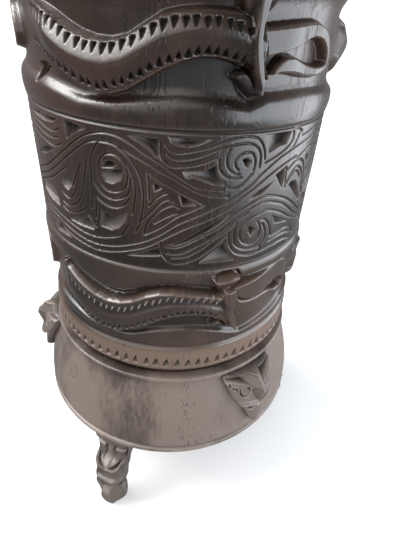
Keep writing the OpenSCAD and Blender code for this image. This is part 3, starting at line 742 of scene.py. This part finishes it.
# gives the surface with one snake on it, the cuts in the snake, and where the painted highlight on the slits
# and the painted shade go
def shapeSnake(surface, snake, ground):
    degrees, y = np.degrees(surface.x), surface.y
    columns = liftedTable(snake["back"])
    upper, upRow, lowRow, lower = (np.interp(surface.angles, *column) for column in columns)
    across = (y - lower) / (upper - lower)
    roundPlaces = np.array(snake["round"])
    stand = np.interp(across, roundPlaces[:, 0], roundPlaces[:, 1] * mm)
    stand = stand * (0.2 + 0.8 * ease(degrees, -60, -30))
    onBack = ease(y - lower, -0.2 * mm, 1.2 * mm) * ease(upper - y, -0.2 * mm, 1.2 * mm)
    onBack = onBack * (degrees < snakeHead["neck"]) * ease(degrees, -58, snake["starts"])
    height = ground + onBack * np.maximum(1.0 + stand - ground, 0)
    cuts = cutNotches(surface, snake, upRow, lowRow)
    # painted highlight on the slits in the upper half of the lower snake's back
    pale = snake["slanted"] * (y > (upRow + lowRow) / 2)
    slitHighlight = ease(cuts, 0.15 * mm, 0.45 * mm) * pale
    deep = notchCut["depth"]
    # painted shade in the other notches and in the channel along the back around the slits
    dirtAndShade = ease(cuts, 0.25 * deep, 0.6 * deep) * (1 - pale) * snakeShade["notches"]
    channelShade = snakeShade["back"] * pale * (1 - slitHighlight) * onBack * bump(across, 0.66, 0.13)
    dirtAndShade = np.maximum(dirtAndShade, channelShade)
    # painted shade lies in the recess under the back and, on the lower snake, over it
    stepLine = readTable(snake["step"], surface.angles)
    under = ease(y - stepLine, 0, 0.02) * ease(lower - y, -0.01, 0.02)
    under = under * ease(degrees, -32, -8) * ease(25 - degrees, 0, 3)
    over = snake["slanted"] * bump(y - upper, 0.018, 0.022) * ease(degrees, -40, 0) * (degrees < 17)
    dirtAndShade = np.maximum(dirtAndShade, snakeShade["recess"] * np.maximum(under, over))
    # the head: jaws that run out lower towards their far end, and the open mouth
    jawTop = snakeHead["jaw"] + (snakeHead["jawEnd"] - snakeHead["jaw"]) * ease(degrees, 26, 46)
    jaws = surface.raised(roundedShape(snake["jaws"], 3.0), 1.0, 1.2 * mm)
    height = height + jaws * np.maximum(1.0 + jawTop * mm - height, 0)
    mouth = surface.raised(roundedShape(snake["mouth"], 2.0), 1.0, 1.0 * mm)
    mouthFloor = 1.0 + snakeHead["mouthFloor"] * mm - 0.035 * ease(degrees, 32, 48)
    height = sunk(height, mouth, mouthFloor)
    spine = smoothPath(liftedPoints(snake["spine"], snakeHead["wedge"]))

    def ridge(x, y):
        return snakeHead["wedge"] * mm - 0.22 * edgeDistance(spine, x, y)

    spurPocket = surface.raised(liftedPoints(snake["spurPocket"], 0), 1.0, 0.9 * mm)
    height = sunk(height, spurPocket, snakeHead["spurPocket"])
    spurCorners = liftedPoints(snake["spur"], snakeHead["spur"])
    low = spurCorners[:, 1].min()

    def facet(x, y):
        return snakeHead["spur"] * mm * (0.5 + 5.0 * (y - low)) + 0.06 * (x - x.min())

    height = standing(height, surface.raised(spurCorners, 1.0, 0.9 * mm, facet))
    wedgeCorners = liftedPoints(snake["wedge"], 0.8 * snakeHead["wedge"])
    height = standing(height, surface.raised(wedgeCorners, 1.0, 1.0 * mm, ridge))
    surface.carve(cuts, liftedPoints(snake["slit"], 4), 1.8 * mm, 3.0 * mm)
    # the eye cup: a lip that leans out, and the hollow above it
    lipCorners = roundedShape(snake["lip"], snakeHead["lip"], 3)
    lipLow = lipCorners[:, 1].min()

    def lean(x, y):
        return snakeHead["lip"] * mm * (0.4 + 0.6 * np.clip((y - lipLow) / 0.1, 0, 1))

    lip = surface.raised(lipCorners, 1.0, 1.0 * mm, lean)
    cup = surface.raised(roundedShape(snake["cup"], 3, 3), 1.0, 1.2 * mm)
    height = standing(sunk(height, cup, snakeHead["cup"]), lip)
    # the hollow of the cup gets painted shade
    dirtAndShade = np.maximum(dirtAndShade, snakeShade["cup"] * cup * (lip == 0))
    corners, deepest = snake["pocket"]
    pocket = np.zeros(surface.x.shape)
    pocketPoint = flatPoints([deepest])[0]
    surface.scoop(pocket, flatPoints(corners), pocketPoint, snakeHead["pocketDepth"])
    if snake["hatched"]:
        weave = np.sin(surface.x / (0.55 * mm)) * np.sin((surface.y + 0.4 * surface.x) / (0.5 * mm))
        pocket -= ease(pocket, 0.5 * mm, 2 * mm) * np.clip(weave, 0, 1) * 0.9 * mm
    return height, np.maximum(cuts, pocket), slitHighlight, dirtAndShade


bodyShape = {
    # ground line of the outside, [height, radius]
    "foot": [(-0.94, 0.928), (-0.805, 0.928), (-0.795, 0.95), (-0.78, 0.962), (-0.76, 0.966),
             (-0.745, 0.98), (-0.72, 1.008), (-0.70, 1.014), (-0.60, 1.015), (-0.56, 1.013),
             (-0.53, 1.008), (-0.516, 0.995), (-0.505, 0.988), (-0.49, 0.992), (-0.44, 0.998)],
    "mouth": [(1.50, 0.975), (1.56, 0.985), (1.62, 1.005), (1.68, 1.035), (1.75, 1.08), (1.82, 1.14),
              (1.90, 1.21), (1.96, 1.26), (1.99, 1.287), (2.015, 1.30), (2.035, 1.298), (2.05, 1.288),
              (2.06, 1.27)],
    "inside": [(2.06, 1.235), (2.045, 1.21), (2.0, 1.165), (1.9, 1.075), (1.8, 0.985), (1.7, 0.912),
               (1.6, 0.868), (1.5, 0.852), (1.3, 0.85), (1.0, 0.85), (0.5, 0.85), (0, 0.85), (-0.4, 0.85),
               (-0.72, 0.85), (-0.724, 0.776), (-0.94, 0.776)],
    # [from height, to height, row spacing in millimetres]
    "rows": [(-0.9375, -0.81, 3), (-0.81, -0.70, 0.8), (-0.70, -0.56, 0.45), (-0.56, -0.47, 0.7),
             (-0.47, 0.12, 0.47), (0.12, 0.158, 0.8), (0.158, 1.004, 0.36), (1.004, 1.11, 0.9),
             (1.11, 1.67, 0.47), (1.67, 2.06, 1.5)],
    "columns": 500,
    "belt": {"count": 84, "height": -0.685, "tall": 0.085, "wide": 0.052, "deep": 2.6 * mm,
             "wall": 0.45 * mm},
    "swell": 0.013, "recess": 0.034,
    # how much the foot shows wear, how bright the painted reflection below the scroll band is, how dark the
    # painted shade in the belt notches is, and how much proud edges show wear
    "footWear": 0.62, "lowReflection": 0.16, "beltShade": 0.6, "edgeWear": 0.3,
}


# the smooth body before the snakes: foot, bulges, recesses beside the snakes, and the flare
def bodyGround(surface):
    y, angles = surface.y, surface.angles
    footTop = bodyShape["foot"][-1][0]
    ground = np.where(y > footTop, 1.0, readTable(bodyShape["foot"], y))
    swell = bodyShape["swell"]
    for snake in (lowerSnake, upperSnake):
        border = snake["border"]
        columns = liftedTable(snake["back"])
        upper, lower = np.interp(angles, *columns[0]), np.interp(angles, *columns[3])
        toHead = ease(angles, 18, 25)
        upper = upper * (1 - toHead) + (snake["jaws"][2][1] + 0.02) * toHead
        stepLine = readTable(snake["step"], angles)
        middle = (upper + lower) / 2
        into = ease(y - stepLine, -0.012, 0.022)
        below = (y > stepLine - 0.012) & (y < middle)
        ground = np.where(below, ground - bodyShape["recess"] * into, ground)
        if snake is lowerSnake:
            # between the lower snake and the scroll band
            t = np.clip((y - upper) / (border - upper), 0, 1)
            bulge = 1.0 + swell * np.sin(np.pi * t) - 0.035 * (1 - ease(t, 0, 0.3)) ** 1.5
            ground = np.where((y >= middle) & (y < border), bulge, ground)
        else:
            # between the scroll band and the upper snake, then the flare over that snake
            t = np.clip((y - border) / (stepLine - border), 0, 1)
            bulge = 1.0 + swell * np.sin(np.pi * np.clip(t * 1.1, 0, 1)) - 0.03 * ease(t, 0.55, 1) ** 2
            ground = np.where((y > border) & (y < stepLine), bulge, ground)
            ground = np.where((y >= stepLine) & (y < middle), 0.97 - 0.006 * into, ground)
            flare = readTable(bodyShape["mouth"], y)
            above = ease(y - upper, 0.0, 0.12)
            ground = np.where(y >= middle, 0.965 * (1 - above) + flare * above, ground)
    return ground


def cutBelt(surface):  # the ring of small notches round the foot
    depth = np.zeros(surface.x.shape)
    belt = bodyShape["belt"]
    shake = np.random.default_rng(3)
    pitch, base = 360 / belt["count"], belt["height"]
    for k in range(belt["count"] // 3):
        a = -third / 2 + (k + 0.5) * pitch + shake.uniform(-0.35, 0.35)
        wide = math.degrees(belt["wide"]) / 2 * shake.uniform(0.85, 1.15)
        tall = belt["tall"] * shake.uniform(0.85, 1.15)
        corners = [(a - wide, base), (a + wide, base), (a + 0.45 * wide, base + tall)]
        deepest = flatPoints([(a, base + 0.01)])[0]
        surface.scoop(depth, flatPoints(corners), deepest, belt["deep"], belt["wall"])
    return depth


def blurred(values, times):
    for _ in range(times):
        values = (values + np.roll(values, 1, 1) + np.roll(values, -1, 1)) / 3
        values[1:-1] = (values[2:] + values[1:-1] + values[:-2]) / 3
    return values


def addPiece(name, vertices, faces, material, nodes, layers):
    mesh = bpy.data.meshes.new(name)
    mesh.vertices.add(len(vertices))
    mesh.vertices.foreach_set("co", np.asarray(vertices, np.float32).ravel())
    mesh.loops.add(faces.size)
    mesh.loops.foreach_set("vertex_index", faces.ravel().astype(np.int32))
    mesh.polygons.add(len(faces))
    mesh.polygons.foreach_set("loop_start", np.arange(0, faces.size, 4, dtype=np.int32))
    mesh.update(calc_edges=True)
    mesh.polygons.foreach_set("use_smooth", np.ones(len(faces), bool))
    for layerName, values in layers.items():
        layer = mesh.attributes.new(layerName, "FLOAT", "POINT")
        layer.data.foreach_set("value", values.astype(np.float32).ravel())
    mesh.validate()
    piece = bpy.data.objects.new(name, mesh)
    bpy.context.scene.collection.objects.link(piece)
    mesh.materials.append(material)
    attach(piece, "root")
    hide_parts(*nodes)
    return piece


def ringFaces(rows, columns, closed=True):
    # quads of a grid that closes round its columns, and over its rows if closed
    r = np.arange(rows if closed else rows - 1)[:, None]
    c = np.arange(columns)[None, :]
    r2, c2 = (r + 1) % rows, (c + 1) % columns
    quads = [r * columns + c, r * columns + c2, r2 * columns + c2, r2 * columns + c]
    return np.stack(quads, -1).reshape(-1, 4)


def onAxis(rings, angles, levels):
    # points at these distances from the vessel's axis, in metres
    places = [rings * np.sin(angles) * radius, -rings * np.cos(angles) * radius, levelOf(levels)]
    return np.stack(places, -1).reshape(-1, 3)


def wearOf(height):
    # edges that stand proud of what is round them are rubbed lighter
    proud = height - blurred(height.copy(), 3)
    return ease(proud, 0.0025, 0.010) * bodyShape["edgeWear"]


def makeBody():
    rows = [np.arange(low, high, step * mm) for low, high, step in bodyShape["rows"]]
    heights = np.concatenate(rows + [bodyShape["mouth"][-1][:1]])
    angles = np.linspace(-third / 2, third / 2, bodyShape["columns"], endpoint=False)
    surface = Surface(angles, heights)
    ground = bodyGround(surface)
    height, cutLow, slitHighlightLow, snakeShadeLow = shapeSnake(surface, lowerSnake, ground)
    height, cutHigh, slitHighlightHigh, snakeShadeHigh = shapeSnake(surface, upperSnake, height)
    print("snakes shaped")
    depth, bareAndShade, dirtAndShade = carveScroll(surface)
    wide = scrollBand["borderWidth"]
    for border in (scrollBand["low"], scrollBand["high"]):
        gap = np.abs(surface.y - border)
        depth = np.maximum(depth, scrollBand["borderDepth"] * np.clip(1 - gap / wide, 0, 1))
        # painted shade and dirt along the border lines
        dirtAndShade = np.maximum(dirtAndShade, scrollBand["borderDirtAndShade"] * ease(wide - gap, 0.2 * mm, 0.7 * mm))
    belt = cutBelt(surface)
    # painted shade in the belt notches
    beltShade = bodyShape["beltShade"] * ease(belt, 0.4 * mm, 1.6 * mm)
    dirtAndShade = np.maximum.reduce([dirtAndShade, snakeShadeLow, snakeShadeHigh, beltShade])
    # the foot is rubbed paler than the rest, and below the scroll band a painted reflection grows paler
    # towards the right
    paintedLowReflection = bodyShape["lowReflection"] * ease(scrollBand["low"] - surface.y, 0, 0.01)
    paintedLowReflection = paintedLowReflection * ease(np.degrees(surface.x), -55, -5)
    # painted glints: paler bands along the edges of the lines
    lineGlints = ease(blurred(depth.copy(), 2) - depth, 0.02 * mm, 0.18 * mm)
    footWear = bodyShape["footWear"] * ease(-surface.y, 0.50, 0.56)
    # the wear layer holds rubbed edges and the worn foot, with the painted glints and the painted reflection
    wear = [wearOf(height), scrollBand["lineGlints"] * lineGlints, footWear]
    wear = np.maximum.reduce(wear) + paintedLowReflection
    height = height - np.maximum.reduce([depth, cutLow, cutHigh, belt])
    layers = {"wear": wear, "bareAndShade": bareAndShade, "dirtAndShade": dirtAndShade, "slitHighlight": np.maximum(slitHighlightLow, slitHighlightHigh)}
    height = np.tile(height, (1, 3))
    allAngles = np.radians(np.concatenate([angles + k * third for k in range(3)]))
    # the hand of the carver: the surface is never quite round
    levels = heights[:, None]
    sway = 0.0012 * np.sin(3 * allAngles + 5 * levels) + 0.0008 * np.sin(7 * allAngles - 11 * levels)
    height = height + sway * (levels > -0.7) * (levels < 1.9)
    inside = np.array(bodyShape["inside"])
    rings = np.vstack([height, np.repeat(inside[:, 1:], len(allAngles), 1)])
    levels = np.repeat(np.concatenate([heights, inside[:, 0]])[:, None], len(allAngles), 1)
    plain = np.zeros((len(inside), len(allAngles)))
    layers = {name: np.vstack([np.tile(values, (1, 3)), plain]) for name, values in layers.items()}
    vertices = onAxis(rings, allAngles, levels)
    print("body", len(vertices), "points")
    faces = ringFaces(*rings.shape)
    return addPiece("carvedBody", vertices, faces, woods["body"], ["body"], layers)


makeBody()

domeShape = {
    "outside": [(-1.484, 1.122), (-1.480, 1.143), (-1.472, 1.155), (-1.46, 1.161), (-1.44, 1.163),
                (-1.38, 1.159), (-1.30, 1.147), (-1.22, 1.131), (-1.14, 1.110), (-1.06, 1.085),
                (-0.98, 1.058), (-0.91, 1.034), (-0.865, 1.024), (-0.85, 1.027), (-0.838, 1.038),
                (-0.822, 1.043), (-0.808, 1.040), (-0.799, 1.028), (-0.799, 0.985), (-0.802, 0.96),
                (-0.81, 0.945), (-0.83, 0.935), (-0.93, 0.931)],
    "inside": [(-0.938, 0.93), (-0.938, 0.80), (-0.95, 0.78), (-1.06, 0.78), (-1.10, 0.83), (-1.20, 0.94),
               (-1.35, 1.05), (-1.40, 1.066), (-1.484, 1.066)],
    "columns": 480,
}
plateShape = {
    "profile": [(-1.545, 0.0), (-1.545, 0.9), (-1.545, 1.14), (-1.543, 1.156), (-1.535, 1.165),
                (-1.52, 1.169), (-1.508, 1.168), (-1.499, 1.162), (-1.493, 1.148), (-1.489, 1.12),
                (-1.486, 1.065), (-1.40, 1.062), (-1.398, 0.9), (-1.398, 0.0)],
    "columns": 480,
}
floorShape = {"dish": 1.5 * mm, "columns": 200}


# turned pieces; the sway makes them not quite round, and the wear lies where the profile bends
turned = {"sway": 0.0008, "wear": 0.5, "middle": 0.0005}


def spun(name, path, columns, material, node, sway=turned["sway"]):
    angles = np.radians(np.linspace(0, 360, columns, endpoint=False))
    waves = 1 + sway * np.sin(3 * angles + 4 * path[:, :1]) + 0.5 * sway * np.sin(8 * angles + 1)
    vertices = onAxis(path[:, 1:] * waves, angles, np.repeat(path[:, :1], columns, 1))
    bend = np.zeros(len(path))
    bend[1:-1] = np.linalg.norm(path[2:] - 2 * path[1:-1] + path[:-2], axis=1)
    wear = np.repeat(ease(bend, 0.002, 0.02)[:, None] * turned["wear"], columns, 1)
    faces = ringFaces(len(path), columns)
    return addPiece(name, vertices, faces, material, [node], {"wear": wear})


domePath = smoothPath(domeShape["outside"] + domeShape["inside"], 4)
spun("domedBase", domePath, domeShape["columns"], woods["dome"], "dome")
platePath = np.array([(h, max(r, turned["middle"])) for h, r in plateShape["profile"]])
spun("basePlate", platePath, plateShape["columns"], woods["plate"], "base_plate")
floorLow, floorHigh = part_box("floor_disc")
low, top, dish = heightOf(floorLow.z), heightOf(floorHigh.z), floorShape["dish"]
edge = (floorHigh.x - floorLow.x) / 2 / radius
floorPath = np.array([(low, turned["middle"]), (low, edge), (top, edge),
                      (top - dish / 2, edge * 0.6), (top - dish, turned["middle"])])
spun("vesselFloor", floorPath, floorShape["columns"], woods["body"], "floor_disc", 0.0)
print("dome, plate and floor")

maskShape = {
    "turns": {"mask_right": 36, "mask_back": 156, "mask_left": 276},
    "middle": -1.05,  # height of the mask's centre
    # outline to the right of the middle, from the top down: sideways, up
    "outline": [(0, 0.215), (0.11, 0.21), (0.215, 0.205), (0.255, 0.175), (0.20, 0.045), (0.130, -0.065),
                (0.088, -0.14), (0.060, -0.21), (0.035, -0.28), (0.0, -0.31)],
    "turnsRound": 300,
    "rings": 110,
    "snout": 0.225, "snoutFlat": 0.205, "cheek": 0.062, "brow": 0.028,
    "eye": (0.105, 0.078), "eyeSize": 0.038, "cutDepth": 0.032, "holeDepth": 0.08, "wear": 0.8,
}


def maskHeight(x, y):
    # how far the mask stands out of the dome, for sideways x and up y from its centre
    side = np.abs(x)
    # cheeks, falling away to the border
    out = maskShape["cheek"] + 0.05 * ease(0.27 - side, 0, 0.2) - 0.05 * ease(side, 0.20, 0.28)
    # the brow runs from the corner to the snout, over it lies a deep hollow
    brow = y - (0.118 + 0.30 * (side - 0.05))
    out = out + maskShape["brow"] * bump(brow, -0.012, 0.016)
    hollow = ease(brow, 0.006, 0.022) * (1 - ease(y - 0.19 + 0.05 * side, 0, 0.02) * 0.6)
    out = out * (1 - hollow) + 0.006 * hollow
    # the jaw line: a ridge from the border to the middle, and the face below it
    line = y + 0.068 - 0.28 * side
    below = ease(-line, 0.0, 0.015)
    lower = 0.080 - 0.25 * np.maximum(side - 0.012, 0) + 0.10 * (y + 0.2)
    out = out * (1 - below) + lower * below + 0.022 * bump(line, 0.006, 0.011)
    hole = 1 - ease(np.hypot((side - 0.042) / 0.030, (y + 0.112) / 0.027), 0.7, 1.1)
    out = out - maskShape["holeDepth"] * hole
    # the snout: facets that meet in a ridge, with a narrow facet along each side below
    upper, under = np.maximum(y - 0.125, 0), np.maximum(0.125 - y, 0)
    snout = maskShape["snout"] - 1.75 * side - 0.85 * upper - 0.62 * under
    snout = np.minimum(snout, maskShape["snoutFlat"])
    root = 0.115 - 1.1 * np.maximum(side - 0.055, 0) * 1.6 - 0.25 * under
    root = np.where(brow < 0.0, root, 0)
    snout = np.maximum(snout, np.where(side < 0.10, root, 0))
    hollow = hollow * (1 - ease(snout - out, 0, 0.01))
    out = np.maximum(out, snout)
    # ringed eye with short cuts beside it
    eyeX, eyeY = maskShape["eye"]
    gap = np.hypot(side - eyeX, (y - eyeY) / 1.15)
    cut = np.clip(1 - ((gap - maskShape["eyeSize"]) / 0.008) ** 2, 0, 1)
    for k in range(3):
        dx, dy = side - (0.166 + 0.026 * k), y - (0.104 + 0.020 * k)
        along, off = dy + 0.25 * dx, dx - 0.25 * dy + 3.0 * dy**2
        slash = np.clip(1 - (off / 0.0065) ** 2, 0, 1) * (1 - ease(np.abs(along), 0.020, 0.028))
        cut = np.maximum(cut, slash)
    out = out - maskShape["cutDepth"] * cut
    # the second value is painted shade in the cuts, the hollow and the holes
    return out, np.maximum(np.maximum(cut, hollow * 0.8), hole)


def domeRadius(height):
    return readTable(domeShape["outside"][:18], height)


def makeMask(name, turn):
    right = np.array(maskShape["outline"])
    left = right[::-1][1:-1] * [-1, 1]
    outline = smoothPath(np.vstack([right, left, right[:1]]), 12)[:-1]
    ring = np.vstack([outline, outline[:1]])
    lengths = np.concatenate([[0], np.cumsum(np.hypot(*np.diff(ring, axis=0).T))])
    places = np.linspace(0, lengths[-1], maskShape["turnsRound"], endpoint=False)
    border = np.column_stack([np.interp(places, lengths, ring[:, k]) for k in (0, 1)])
    centre = np.array([0.0, 0.02])
    shares = np.linspace(0.004, 1, maskShape["rings"]) ** 0.8
    grid = centre + shares[:, None, None] * (border - centre)
    x, y = grid[..., 0], grid[..., 1]
    proud, shade = maskHeight(x, y)
    proud = np.maximum(proud, 0.004)
    edge = ease(1 - shares, 0.0, 0.03)[:, None]
    proud = proud * (0.6 + 0.4 * edge)
    wear = ease(proud - blurred(proud.copy(), 4), 0.001, 0.006) * maskShape["wear"]
    # sides that go down into the dome, and a flat back inside it
    sides = np.array([(1.0, -0.02), (0.5, -0.02), (0.004, -0.02)])
    backX, backY = ((centre[k] + sides[:, :1] * (border[:, k] - centre[k])) for k in (0, 1))
    x, y = np.vstack([x, backX]), np.vstack([y, backY])
    out = np.vstack([proud, np.repeat(sides[:, 1:], x.shape[1], 1)])
    wear, shade = (np.vstack([values, np.zeros((3, x.shape[1]))]) for values in (wear, shade))
    heights = maskShape["middle"] + y
    base = domeRadius(np.clip(heights, -1.47, -0.83))
    angle = math.radians(turn) + x / 1.10
    vertices = onAxis(base + out, angle, heights)
    layers = {"wear": wear, "bareAndShade": shade}
    return addPiece(name, vertices, ringFaces(*x.shape), woods["mask"], [name], layers)


for maskName, turn in maskShape["turns"].items():
    makeMask(maskName, turn).name = maskName + "_carved"
print("masks")

legShape = {
    "turns": {"leg_front": -25, "leg_right": 95, "leg_left": 215},
    # share of the way down, half width, front, back (millimetres in from the plate's edge), squareness
    "rings": [(0.00, 14.6, 0.2, 25.0, 5.0), (0.05, 13.6, 0.0, 23.0, 4.5), (0.15, 12.2, 0.0, 19.0, 4.2),
              (0.22, 11.8, -0.4, 17.0, 4.0), (0.265, 11.4, -1.2, 15.5, 3.6),
              (0.30, 11.2, -5.2, 14.5, 3.2), (0.33, 11.2, -7.4, 14.0, 3.0), (0.40, 11.0, -7.2, 12.5, 3.0),
              (0.475, 10.4, -6.8, 11.0, 2.8), (0.505, 11.0, -9.2, 10.5, 2.6),
              (0.56, 11.0, -9.4, 9.5, 2.6), (0.60, 9.8, -7.5, 8.0, 2.6), (0.645, 9.4, -5.4, 6.5, 2.6),
              (0.68, 11.2, -7.0, 6.0, 2.4), (0.74, 12.8, -9.4, 5.5, 1.9), (0.82, 11.8, -9.0, 4.5, 1.75),
              (0.91, 8.4, -7.6, 2.0, 1.7), (0.97, 5.6, -6.8, 0.0, 1.8), (1.0, 3.8, -6.4, -1.5, 2.0)],
    "columns": 180, "rows": 250, "intoPlate": 0.8, "wear": 0.7, "footWear": 0.15,
}


def legRelief(x, t, facing):
    # the face cut into the leg's front, in millimetres, positive outward, and where it is in shade
    side = np.abs(x)
    # sunken eyes under the brow, each with a lid like a half moon
    socket = ease(side, 1.6, 2.8) * (1 - ease(side, 11.0, 12.2))
    socket = socket * ease(t, 0.045, 0.065) * (1 - ease(t, 0.20, 0.29))
    lidPlace = np.hypot((side - 7.2) / 4.6, (t - 0.135) / 0.050)
    lid = (1 - ease(lidPlace, 0.75, 1.0)) * ease(t, 0.12, 0.14)
    cheek = bump(side, 6.5, 3.2) * bump(t, 0.235, 0.045)
    groove = bump(side, 2.9, 1.0) * ease(t, 0.06, 0.10) * (1 - ease(t, 0.24, 0.30))
    temple = bump(side, 11.6, 0.9) * ease(t, 0.05, 0.08) * (1 - ease(t, 0.25, 0.32))
    nose = bump(side, 0, 1.9) * ease(t, 0.04, 0.08) * (1 - ease(t, 0.30, 0.33))
    out = -3.2 * socket + 2.5 * lid + 1.5 * cheek - 1.6 * groove - 1.3 * temple + 1.2 * nose
    # the mouth rises at its corners, then two lip bands, the collar and the hollow under it
    smile = 0.0010 * side**2
    mouth = bump(t, 0.352 - smile, 0.020) * ease(side, -1, 1) * (1 - ease(side, 7.5, 9.0))
    line = bump(t, 0.455 - smile, 0.009) * (1 - ease(side, 7, 9))
    collar = bump(t, 0.535 - smile, 0.030)
    under = bump(t, 0.628 - 0.8 * smile, 0.022)
    out += -4.4 * mouth - 1.1 * line + 0.9 * collar - 2.0 * under
    shade = 0.9 * mouth + 0.5 * socket * (1 - lid) + 0.8 * under
    return out * facing, np.clip(shade, 0, 1) * facing


def makeLeg(name, turn):
    table = np.array(legShape["rings"])
    share = np.linspace(0, 1, legShape["rows"])
    track = smoothPath(table, 8)
    order = np.maximum.accumulate(track[:, 0] + 1e-9 * np.arange(len(track)))
    half, front, back, square = (np.interp(share, order, track[:, k])[:, None] for k in (1, 2, 3, 4))
    turnRound = np.linspace(0, 2 * math.pi, legShape["columns"], endpoint=False)[None, :]
    cosine, sine = np.cos(turnRound), np.sin(turnRound)
    x = half * np.sign(sine) * np.abs(sine) ** (2 / square)
    centre, deep = (front + back) / 2, (back - front) / 2
    y = centre - deep * np.sign(cosine) * np.abs(cosine) ** (2 / square)
    facing = ease(cosine + 0 * x, 0.25, 0.6)
    t = share[:, None] + 0 * x
    relief, shade = legRelief(x, t, facing)
    # the foot is cut in flat facets beside a narrow front one
    footZone = ease(t, 0.66, 0.72)
    facets = 2.2 * ease(3.2 - np.abs(x), -1.2, 0.4) - 0.30 * np.maximum(np.abs(x) - 3.2, 0)
    y = y - relief - footZone * facets * facing * (1 - 0.6 * ease(t, 0.9, 1.0))
    legTop = plateLow.z * 1000 + legShape["intoPlate"]
    z = legTop + (0.0 - legTop) * t
    edge = plateHigh.x * 1000 - y  # distance of the point from the vessel's axis
    angle = math.radians(turn)
    worldX = (edge * math.sin(angle) + x * math.cos(angle)) * 0.001
    worldY = (-edge * math.cos(angle) + x * math.sin(angle)) * 0.001
    vertices = np.stack([worldX, worldY, z * 0.001], -1)
    wear = ease(relief - blurred(relief.copy(), 3), 0.05, 0.35) * legShape["wear"]
    wear = wear + legShape["footWear"] * footZone
    # close both ends with rings that shrink to the middle
    ends = []
    for ringPoints in (vertices[0], vertices[-1]):
        middle = ringPoints.mean(0)
        ends.append([(middle + (ringPoints - middle) * s)[None] for s in (0.6, 0.02)])
    rows, columns = t.shape
    vertices = np.vstack([*ends[0][::-1], vertices, *ends[1]])
    layers = {"wear": wear, "bareAndShade": shade}
    layers = {k: np.vstack([v[:1], v[:1], v, v[-1:], v[-1:]]) for k, v in layers.items()}
    faces = ringFaces(rows + 4, columns, False)
    caps = []
    for start, flip in ((0, True), ((rows + 3) * columns, False)):
        ids = start + np.arange(columns)
        halfWay = columns // 2
        for k in range(halfWay - 1):
            quad = [ids[k], ids[k + 1], ids[columns - 2 - k], ids[columns - 1 - k]]
            caps.append(quad if flip else quad[::-1])
    faces = np.vstack([faces, np.array(caps)])[:, ::-1]
    vertices = vertices.reshape(-1, 3)
    return addPiece(name + "_carved", vertices, faces, woods["leg"], [name], layers)


for legName, turn in legShape["turns"].items():
    makeLeg(legName, turn)
print("legs")

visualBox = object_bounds()
boxes = {"cad": cadBox, "visual": visualBox}
{name: [list(corner) for corner in box] for name, box in boxes.items()}
